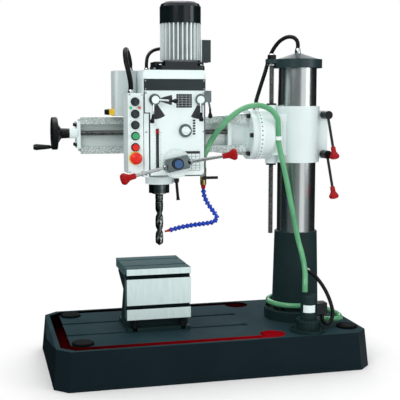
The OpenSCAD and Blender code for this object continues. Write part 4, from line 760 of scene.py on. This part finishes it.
at_slots = either(*(near("z", z, SLOT_REACH) for z in TABLE_SLOTS))
in_front_slots = both(between("y", SLOT_MOUTH, SLOT_END), at_slots)
table_face = both(faces_front, below("y", TABLE_FRONT), above("z", TABLE_FACE_LOW))
table_back = both(faces_back, above("y", TABLE_BACK))
table_foot = either(below("z", TABLE_FOOT_TOP), both(above("y", TABLE_LEG_FRONT), below("z", TABLE_LEG_TOP)))
pedestal_gland = both(below("y", GLAND_FRONT), between("z", GLAND_LOW, GLAND_HIGH))
pump_box = both(above("x", PUMP_BOX_LEFT), above("z", PUMP_BOX_LOW))
dress("base_casting", slate, (red, in_gutter), (deck, above("z", DECK_FROM)))
dress("anchor_caps", rubber_and_slot_shade)
dress("drain_strainers", red)
dress("pedestal", dark, (bright, pedestal_gland), (black_steel, on_foot_bolts))
dress("column", chrome)
dress("thrust_bearing", bright)
dress("coolant_pump", dark, (black_knob, pump_box))
dress("box_table", planed, (slate, in_front_slots), (milled, table_face), (milled, table_back),
      (dark, table_foot))
dress("table_bolts", black_steel)

# Column top, sleeve and arm
CAP_TOP, HOSE_CLIP_TOP = 1141, 850
CLAMP_HUBS = {"upper_clamp_lever": 912, "lower_clamp_lever": 764}
ROD_TOP, KNOB_TOP = 15.6, 114
RAIL_FRONT, RAIL_LOW, RAIL_HIGH, RAIL_END = -29, 804, 883, 161
RECESS_FRONT, RECESS_END = -31, 75
END_PLATE_FACE, END_BOLTS_LOW, END_BOLTS_HIGH = -458.2, 826, 872
dress("column_cap", cap_paint, (bright, above("z", CAP_TOP)))
dress("arm_sleeve", white)
dress("degree_ring", panel_white)
dress("sleeve_fittings", bright, (panel_white, below("z", HOSE_CLIP_TOP)))
dress("lift_nut", black_steel)
for lever, hub in CLAMP_HUBS.items():
    dress(lever, black_knob, (red_knob, below("z", hub - KNOB_TOP)), (black_steel, below("z", hub - ROD_TOP)))
rail_edges = either(below("z", RAIL_LOW), above("z", RAIL_HIGH))
rail_bands = both(below("y", RAIL_FRONT), below("x", RAIL_END), rail_edges)
rail_recess = both(below("y", RECESS_FRONT), below("x", RECESS_END))
dress("arm_beam", white, (ground, rail_bands), (rail_steel, rail_recess))
dress("swivel_bolts", black_steel)
end_bolts = both(below("x", END_PLATE_FACE), either(below("z", END_BOLTS_LOW), above("z", END_BOLTS_HIGH)))
dress("end_plate", panel_white, (black_steel, end_bolts))
dress("traverse_handwheel", black_knob)

# Head, motor and boxes
NAME_BAND_LOW, SPEED_TABLE_LOW = 995, 900
POINTER_SLOT_REACH, POINTER_SLOT_LOW, POINTER_SLOT_HIGH = 5.4, 724, 873
COLLAR_TOP, TAP_TIP_TOP = 702.5, 668
FLANGE_EDGE, FIN_ROOT_R = 1098.5, 62.5
TERMINAL_LEFT, TERMINAL_HALF = -36, 36
BOX_EDGE = -212.5
EMERGENCY_Z, EMERGENCY_R = 772, 24
GREEN_LAMP_TO, RED_LAMP_FROM, LAMP_R = -286, -272, 6
SWITCH_FACE, SWITCH_BACK, SWITCH_Y, SWITCH_TOP, SWITCH_HALF = -331.5, -330, -76, 938, 21
BOX_RINGS = BOX_FACE - 0.05


def shaded_pointer_slot(c, n):
    """The walls of the slot that the depth pointer runs in, painted black as shade."""
    beside = abs(c.x - POINTER_X) < POINTER_SLOT_REACH and POINTER_SLOT_LOW < c.z < POINTER_SLOT_HIGH
    return beside and c.y < SPINDLE_Y - 2 and abs(n.y) < 0.5


def between_fins(c, n):
    return math.hypot(c.x - MOTOR_X, c.y - SPINDLE_Y) < FIN_ROOT_R and abs(n.z) < 0.5


def on_main_switch(c, n):
    """The switch's yellow plate: its face and its rim."""
    rim = c.x < SWITCH_BACK and n.x > -0.5 and c.z < SWITCH_TOP and abs(c.y - SWITCH_Y) < SWITCH_HALF
    return c.x < SWITCH_FACE or rim


on_plates = below("y", PANEL_FACE - 0.1)
on_lamps = both(below("y", BOX_FACE), near("z", LAMP_Z, LAMP_R))
# Painted shade: the walls of the pointer slot, in the casting and the panel, are painted black.
dress("head_casting", white, (rubber_and_slot_shade, shaded_pointer_slot))
dress("top_cover", panel_white)
dress("front_panel", panel_white, (rubber_and_slot_shade, shaded_pointer_slot),
      (plate_dark, both(on_plates, above("z", NAME_BAND_LOW))),
      (ink_and_shadow_lines, both(on_plates, above("z", SPEED_TABLE_LOW))))
dress("traverse_nut", brass)
dress("quill_collar", white, (black_steel, above("z", COLLAR_TOP)))
dress("motor_body", alloy, (cowl_black, below("z", FLANGE_EDGE)),
      (grey_moulding, both(above("x", TERMINAL_LEFT), near("y", SPINDLE_Y, TERMINAL_HALF))),
      (alloy_deep, between_fins))
dress("motor_cowl", cowl_black)
dress("control_box", grey, (panel_white, between("y", BOX_RINGS, BOX_EDGE)),
      (yellow, both(below("y", BOX_FACE), near("z", EMERGENCY_Z, EMERGENCY_R))),
      (glow_green, both(on_lamps, below("x", GREEN_LAMP_TO))),
      (glow_red, both(on_lamps, above("x", RED_LAMP_FROM))),
      (black_steel, below("y", BOX_RINGS)))
dress("electrical_box", grey, (yellow, on_main_switch))
dress("conduit_glands", bright)
dress("coolant_tap", brass, (red_knob, below("z", TAP_TIP_TOP)))

# Levers, selectors and buttons
LEVER_HUBS = {"speed_lever_upper": SPEED_X, "speed_lever_lower": SPEED_X, "range_lever": RANGE_X}
LEVER_GRIP_FROM, LEVER_CAP_FACE = 44, -243
SIDE_GRIP_TOP, SELECTOR_FACE, POINTER_FRONT = 941, -226.5, -177
for lever, x in LEVER_HUBS.items():
    dress(lever, bright, (black_knob, beyond(x, SHIFT_Z, LEVER_GRIP_FROM)),
          (panel_white, both(below("y", LEVER_CAP_FACE), faces_front)), (hub_steel, faces_front))
dress("side_lever", hub_steel, (black_knob, below("z", SIDE_GRIP_TOP)))
dress("feed_selector", bright, (panel_white, below("y", SELECTOR_FACE)), (hub_steel, faces_front))
for name in ("mode_selector", "raise_button", "lower_button"):
    dress(name, grey_moulding)
for name in ("tap_handle", "quill_lock_lever", "main_switch"):
    dress(name, black_knob)
dress("start_button", green_button)
for name in ("stop_button", "emergency_button"):
    dress(name, red_button)

# Feed hub, quill and gears
DIAL_BACK, DIAL_FACE, HUB_FACE, HUB_CAP_FACE = -221.2, -229.4, -247.4, -255.4
FEED_KNOB_FROM, DIAL_BORE_R, HUB_CAP_R, HUB_RING_R, HUB_R = 153, 30, 15, 21, 44.6
feed_knobs = beyond(FEED_X, FEED_Z, FEED_KNOB_FROM)
feed_dial = both(between("y", DIAL_FACE, DIAL_BACK), beyond(FEED_X, FEED_Z, DIAL_BORE_R))
feed_cap = both(below("y", HUB_CAP_FACE), within(FEED_X, FEED_Z, HUB_CAP_R))
feed_cap_ring = both(below("y", HUB_FACE), within(FEED_X, FEED_Z, HUB_RING_R))
feed_block = both(below("y", DIAL_FACE), within(FEED_X, FEED_Z, HUB_R))
dress("feed_hub", rod_steel, (red_knob, feed_knobs), (panel_white, feed_dial), (blue_cap, feed_cap),
      (plate_dark, feed_cap_ring), (hub_steel, feed_block))
dress("quill", drill_steel, (red_knob, below("y", POINTER_FRONT)))
for name in ("spindle_bearings", "spindle_gear", "motor_pinion"):
    dress(name, bright)
EDGE_WIDTHS = {
    "base_casting": 3, "box_table": 1.2, "arm_beam": 1.5, "head_casting": 1.5, "top_cover": 3,
    "control_box": 1, "electrical_box": 3, "front_panel": 0.6, "end_plate": 1.5,
}
for name, width in EDGE_WIDTHS.items():
    soften(name, width)

# Screws with real threads
CREST, FLANK = 0.25, 0.25


def threaded(name, low, high, outer, place, depth, pitch, starts, sides=24, per=8):
    """A screw thread with flat crests and roots, per loops to a pitch."""
    count = round((high - low) / (pitch / per))
    loops = []
    for i in range(count + 1):
        h = low + (high - low) * i / count
        loop = []
        for k in range(sides):
            a = 2 * math.pi * k / sides
            phase = (h / pitch - starts * a / (2 * math.pi)) % 1.0
            r = outer - depth * min(1.0, max(0.0, (abs(phase - 0.5) - CREST / 2) / FLANK))
            if i in (0, count):
                r = outer - depth
            loop.append(place @ Vector((r * math.cos(a), r * math.sin(a), h)))
        loops.append(loop)
    return rings(name, loops, thread)


LIFT_R, LIFT_LOW, LIFT_HIGH, LIFT_TOP = 9.5, 464, 1094.5, 1139
LIFT_COLLAR_R, LIFT_COLLAR_LOW, LIFT_COLLAR_HIGH = 16.5, 1095.05, 1103.05
LIFT_HEX_BORE, LIFT_HEX_LOW, LIFT_HEX_HIGH = LIFT_R + 0.1, 1119.05, 1135.05
lift_axis = at(LIFT_SCREW_X, 0, 0)
lift_thread = threaded("lift_screw_thread", LIFT_LOW, LIFT_HIGH, LIFT_R, lift_axis,
                       depth=2.2, pitch=6, starts=1)
lift_top = turned("lift_screw_head", [
    (CORE, LIFT_COLLAR_LOW), (LIFT_COLLAR_R, LIFT_COLLAR_LOW), (LIFT_COLLAR_R, LIFT_COLLAR_HIGH),
    (LIFT_R, LIFT_COLLAR_HIGH), (LIFT_R, LIFT_HEX_LOW), (LIFT_R, LIFT_TOP), (CORE, LIFT_TOP)],
    lift_axis, bright)
lift_hex = turned("lift_screw_hexagon", [
    (LIFT_HEX_BORE, LIFT_HEX_LOW), (17, LIFT_HEX_LOW), (17, 1134), (15.5, LIFT_HEX_HIGH),
    (LIFT_HEX_BORE, LIFT_HEX_HIGH)], lift_axis, black_steel, 6)
facet(lift_hex)
for obj in (lift_thread, lift_top, lift_hex):
    seat(obj, "swing", "lift_screw")

CROSS_R, CROSS_LEFT, CROSS_RIGHT, CROSS_GAP = 9, -446, 90, 0.05
JOURNAL_R, JOURNAL_LEFT = 10, -516
TAIL_R, TAIL_RIGHT = 8, 104
traverse_axis = at(0, TRAVERSE_Y, TRAVERSE_Z, "X")
cross_thread = threaded("traverse_screw_thread", CROSS_LEFT, CROSS_RIGHT, CROSS_R, traverse_axis,
                        depth=1.2, pitch=5, starts=4)
cross_ends = turned("traverse_screw_journal", [
    (CORE, JOURNAL_LEFT), (JOURNAL_R - 1, JOURNAL_LEFT), (JOURNAL_R, JOURNAL_LEFT + 1),
    (JOURNAL_R, CROSS_LEFT - CROSS_GAP), (CORE, CROSS_LEFT - CROSS_GAP)], traverse_axis, bright)
cross_tail = turned("traverse_screw_tail", [
    (CORE, CROSS_RIGHT + CROSS_GAP), (TAIL_R, CROSS_RIGHT + CROSS_GAP), (TAIL_R, TAIL_RIGHT - 1),
    (TAIL_R - 1, TAIL_RIGHT), (CORE, TAIL_RIGHT)], traverse_axis, bright)
for obj in (cross_thread, cross_ends, cross_tail):
    seat(obj, "traverse_drive", "traverse_screw")

# Spindle and fluted twist drill
DRILL_TIP, DRILL_TOP, DRILL_R, FLUTE_LEAD = 457, 612, 13.8, 118
CHISEL, CONE = 0.06, DRILL_R * 0.6
PLAIN_END, RUN_OUT = 14, 22
FLUTE_DEPTH, MARGIN_DEPTH, LAND = 0.56, 0.035, 0.25


def fluted(name, place, mat, sides=56, step=2.0):
    """A drill with two helical flutes that run out below its shank."""
    count = round((DRILL_TOP - DRILL_TIP) / step)
    loops = []
    for i in range(count + 1):
        h = DRILL_TIP + (DRILL_TOP - DRILL_TIP) * i / count
        taper = min(1.0, CHISEL + (1 - CHISEL) * (h - DRILL_TIP) / CONE)
        flute = min(1.0, max(0.0, (DRILL_TOP - PLAIN_END - h) / RUN_OUT))
        loop = []
        for k in range(sides):
            a = 2 * math.pi * k / sides
            wave = math.sin(2 * a)
            cut = max(0.0, (wave + LAND) / (1 + LAND)) ** 0.75 * FLUTE_DEPTH * flute
            margin = MARGIN_DEPTH * flute if -0.75 < wave < -0.2 else 0.0
            r = DRILL_R * taper * (1 - max(cut, margin))
            turn = a + 2 * math.pi * h / FLUTE_LEAD
            loop.append(place @ Vector((r * math.cos(turn), r * math.sin(turn), h)))
        loops.append(loop)
    return rings(name, loops, mat)


spindle_axis = at(SPINDLE_X, SPINDLE_Y, 0)
drill = fluted("twist_drill", spindle_axis, drill_steel)
shank = turned("drill_shank", [
    (CORE, DRILL_TOP), (13.2, DRILL_TOP), (13.2, 620), (DRILL_R, 621), (DRILL_R, 641.2), (CORE, 641.2)],
    spindle_axis, drill_steel)
nose = turned("spindle_body", [
    (CORE, 641), (23, 641), (24, 642), (24, 688), (23, 689), (13, 689), (13, 905), (11, 905), (11, 1054),
    (CORE, 1055)], spindle_axis, bright)
for obj in (drill, shank, nose):
    seat(obj, "spindle", "spindle")

# Blue coolant line: ball-and-cup segments along its route
LINK_PITCH = 14.9
LINE_STEP = 1.0
UNIT = (1, 1, 1)
line = smooth_path([
    (-20, -128, 654), (-17, -129, 630), (-8, -133, 606), (4, -139, 586), (16, -146, 568), (23, -150, 556),
    (23, -150, 545), (14, -150, 537), (0, -150, 533), (-30, -150, 530), (-70, -150, 526), (-110, -150, 520),
    (-140, -149, 513)], LINE_STEP)
spots = []
walked = 0.0
for before, here in zip(line, line[1:]):
    walked += (here - before).length
    if walked >= LINK_PITCH * (len(spots) + 0.5):
        along = (here - before).normalized()
        spots.append((here, along.to_track_quat("Z", "Y").to_euler(), UNIT))
link_piece = turned("coolant_link", [
    (0.2, -8.2), (4.6, -8.2), (6.0, -6.6), (6.2, -4.4), (5.0, -2.9), (5.8, -1.8), (8.7, -0.6), (9.1, 1.2),
    (8.8, 4.8), (8.0, 6.0), (7.0, 6.7), (6.4, 5.8), (0.2, 5.8)], Matrix.Identity(4), blue, 28)
links = repeat("coolant_line_links", link_piece, spots, blue)
ahead = (line[-1] - line[-8]).normalized()
nozzle = turned("coolant_nozzle", [
    (0.2, -2), (6.4, -2), (6.8, 0), (6.8, 5), (5.6, 7), (3.6, 18), (3.0, 26), (1.8, 26), (1.6, 20),
    (0.2, 20)],
    Matrix.Translation(line[-1]) @ ahead.to_track_quat("Z", "Y").to_matrix().to_4x4(), red_knob, 28)
for obj, slot in ((links, "blue_plastic"), (nozzle, "red_plastic")):
    seat(obj, "head", "coolant_line")

# Printed sectors behind the shift levers
PRINT_FACE, PRINT_BACK = PANEL_FACE - 0.35, PANEL_FACE + 0.1


def fan(name, x, first, last, inner, outer, steps=14):
    """A flat printed sector on the front panel, from one angle to the other."""
    arc = [math.radians(first + (last - first) * k / steps) for k in range(steps + 1)]
    rim = [(x + inner * math.cos(a), SHIFT_Z + inner * math.sin(a)) for a in arc]
    rim += [(x + outer * math.cos(a), SHIFT_Z + outer * math.sin(a)) for a in reversed(arc)]
    obj = rings(name, [[(px, y, pz) for px, pz in rim] for y in (PRINT_BACK, PRINT_FACE)], ink_and_shadow_lines)
    outward(obj.data)
    facet(obj)
    seat(obj, "head")


fan("shift_sector_right", SPEED_X, first=-17, last=15, inner=19, outer=63)
fan("shift_sector_down", SPEED_X, first=-94, last=-55, inner=21, outer=66)
fan("range_sector", RANGE_X, first=-119, last=-86, inner=21, outer=66)


# Graduations and printed marks
def tick():
    """The pattern of a mark, 1 mm square, that each mark stretches to its own size."""
    return slab("tick", (-0.5, -0.5, -0.15), (0.5, 0.5, 0.15), ink_and_shadow_lines, 0.05, 1)


def on_front(angle=0.0):
    return (Matrix.Rotation(math.pi / 2, 3, "X") @ Matrix.Rotation(angle, 3, "Z")).to_euler()


def mark(x, z, wide, tall, face=PANEL_FACE):
    """A mark on an upright face, with its middle and its size."""
    return ((x, face - 0.1, z), on_front(), (wide, tall, 1))


DEGREE_MARKS, RING_R = 180, 93.05
LONG_MARK_X, DOT_X = 204, 214
marks = []
for i in range(DEGREE_MARKS):
    a = 2 * math.pi * i / DEGREE_MARKS
    turn = Matrix.Rotation(-a, 3, "X").to_euler()
    y, z = RING_R * math.sin(a), ARM_Z + RING_R * math.cos(a)
    marks.append(((LONG_MARK_X, y, z), turn, (6, 0.5, 1)))
    if i % 5 == 0:
        marks.append(((DOT_X, y, z), turn, (4.6, 4.6, 1)))
seat(repeat("degree_marks", tick(), marks, ink_and_shadow_lines), "sleeve")

DIAL_MARKS, DIAL_R = 60, 49
marks = []
for i in range(DIAL_MARKS):
    a = 2 * math.pi * i / DIAL_MARKS
    tall = 6 if i % 5 == 0 else 3.5
    r = DIAL_R - tall / 2
    spot = (FEED_X + r * math.cos(a), DIAL_FACE, FEED_Z + r * math.sin(a))
    marks.append((spot, on_front(a), (tall, 0.6, 1)))
seat(repeat("feed_dial_marks", tick(), marks, ink_and_shadow_lines), "feed")

# Depth scale, feed chart, index marks and painted shadow lines along the edges of the front panel
DEPTH_MARKS, DEPTH_LOW, DEPTH_STEP = 26, 733, 5
CHART_X = -85
# Painted shadow lines along the front panel's edges, as the corners (x, z) of each strip.
PANEL_SHADOW_LINES = [
    ((-250, 926), (-246.6, 998)), ((-250, 922.6), (-229, 926)), ((-233.6, 708), (-228.8, 924)),
    ((-40.4, 708), (-36.4, 998)), ((-232.4, 708), (-36.4, 711.4)),
]
depths = [DEPTH_LOW + i * DEPTH_STEP for i in range(DEPTH_MARKS)]
marks = []
for i, z in enumerate(depths):
    wide = 9 if i % 5 == 0 else 5
    marks.append(mark(-197 + wide / 2, z, wide, 0.6))
marks += [mark(CHART_X, z, 58, 0.9, PLATE_FACE) for z in (735, 745, 755, 765, 775)]
marks += [mark(x, 760, 1.0, 66, PLATE_FACE) for x in (-114, -99.5, CHART_X, -70.5, -56)]
marks.append(mark(CHART_X, 789, 59, 9, PLATE_FACE))
marks.append(mark(CHART_X, 727.5, 59, 1.2, PLATE_FACE))
marks += [mark(-212, z, 3, 0.6) for z in depths]
marks += [mark(-76, z, 9, 6.5) for z in (898, 889, 880, 871, 862, 853)]
marks += [mark(-295, z, 4, 1.2, BOX_FACE) for z in (935, 898, 861, 824, 792)]
# The painted shadow lines go in with the printed marks.
for (x0, z0), (x1, z1) in PANEL_SHADOW_LINES:
    marks.append(mark((x0 + x1) / 2, (z0 + z1) / 2, x1 - x0, z1 - z0))
seat(repeat("panel_marks", tick(), marks, ink_and_shadow_lines), "head")

rows = [mark(-111, z, 50, 0.5, PLATE_FACE) for z in (949, 957, 965, 973, 981)]
rows += [mark(x, 965, 0.5, 42, PLATE_FACE) for x in (-131, -118, -104, -91)]
seat(repeat("speed_table_lines", tick(), rows, panel_white), "head")


# Small screws on panels, covers and boxes
def screw_head():
    return turned("screw_head", [
        (CORE, 0.0), (3.4, 0.0), (3.4, 1.6), (2.9, 2.2), (1.7, 2.2), (1.6, 1.0), (CORE, 1.0)],
        Matrix.Identity(4), bright, 18)


FLANGE_BOLT_X, FLANGE_BOLT_Y = 71, 60
front = on_front()
spots = [((x, PANEL_FACE, z), front, UNIT) for z in (992, 715, 860) for x in (-243, -43)]
spots += [((x, PLATE_FACE - 1, z), front, (0.7, 0.7, 0.7)) for x in (-244, -42) for z in (1005, 1033)]
spots += [((x, BOX_FACE, z), front, (0.8, 0.8, 0.8)) for x in (-299, -257) for z in (725, 986)]
for sx in (-1, 1):
    for sy in (-1, 1):
        place = (FLANGE_X + sx * FLANGE_BOLT_X, SPINDLE_Y + sy * FLANGE_BOLT_Y, FLANGE_TOP)
        spots.append((place, (0, 0, 0), (2, 2, 3)))
seat(repeat("panel_screws", screw_head(), spots, bright), "head")

# Pale plate round the pump, and the range lever's disc
PUMP_PLATE_BEARING, PUMP_PLATE_INNER, PUMP_PLATE_OUTER = -104, 28.6, 29.6
arc = [math.radians(PUMP_PLATE_BEARING + a) for a in range(-46, 47, 4)]
edge = [(PUMP_X + r * math.cos(a), PUMP_Y + r * math.sin(a))
        for r, way in ((PUMP_PLATE_INNER, 1), (PUMP_PLATE_OUTER, -1)) for a in arc[::way]]
pump_plate = rings("pump_plate", [[(x, y, z) for x, y in edge] for z in (207, 234)], panel_white)
outward(pump_plate.data)
facet(pump_plate)
seat(pump_plate, "base")
range_disc = turned("range_hub_disc", [(CORE, -0.4), (13, -0.4), (13, 0.5), (12.5, 0.9), (CORE, 0.9)],
                    at(RANGE_X, -232.3, SHIFT_Z, "-Y"), panel_white)
seat(range_disc, "range_select")
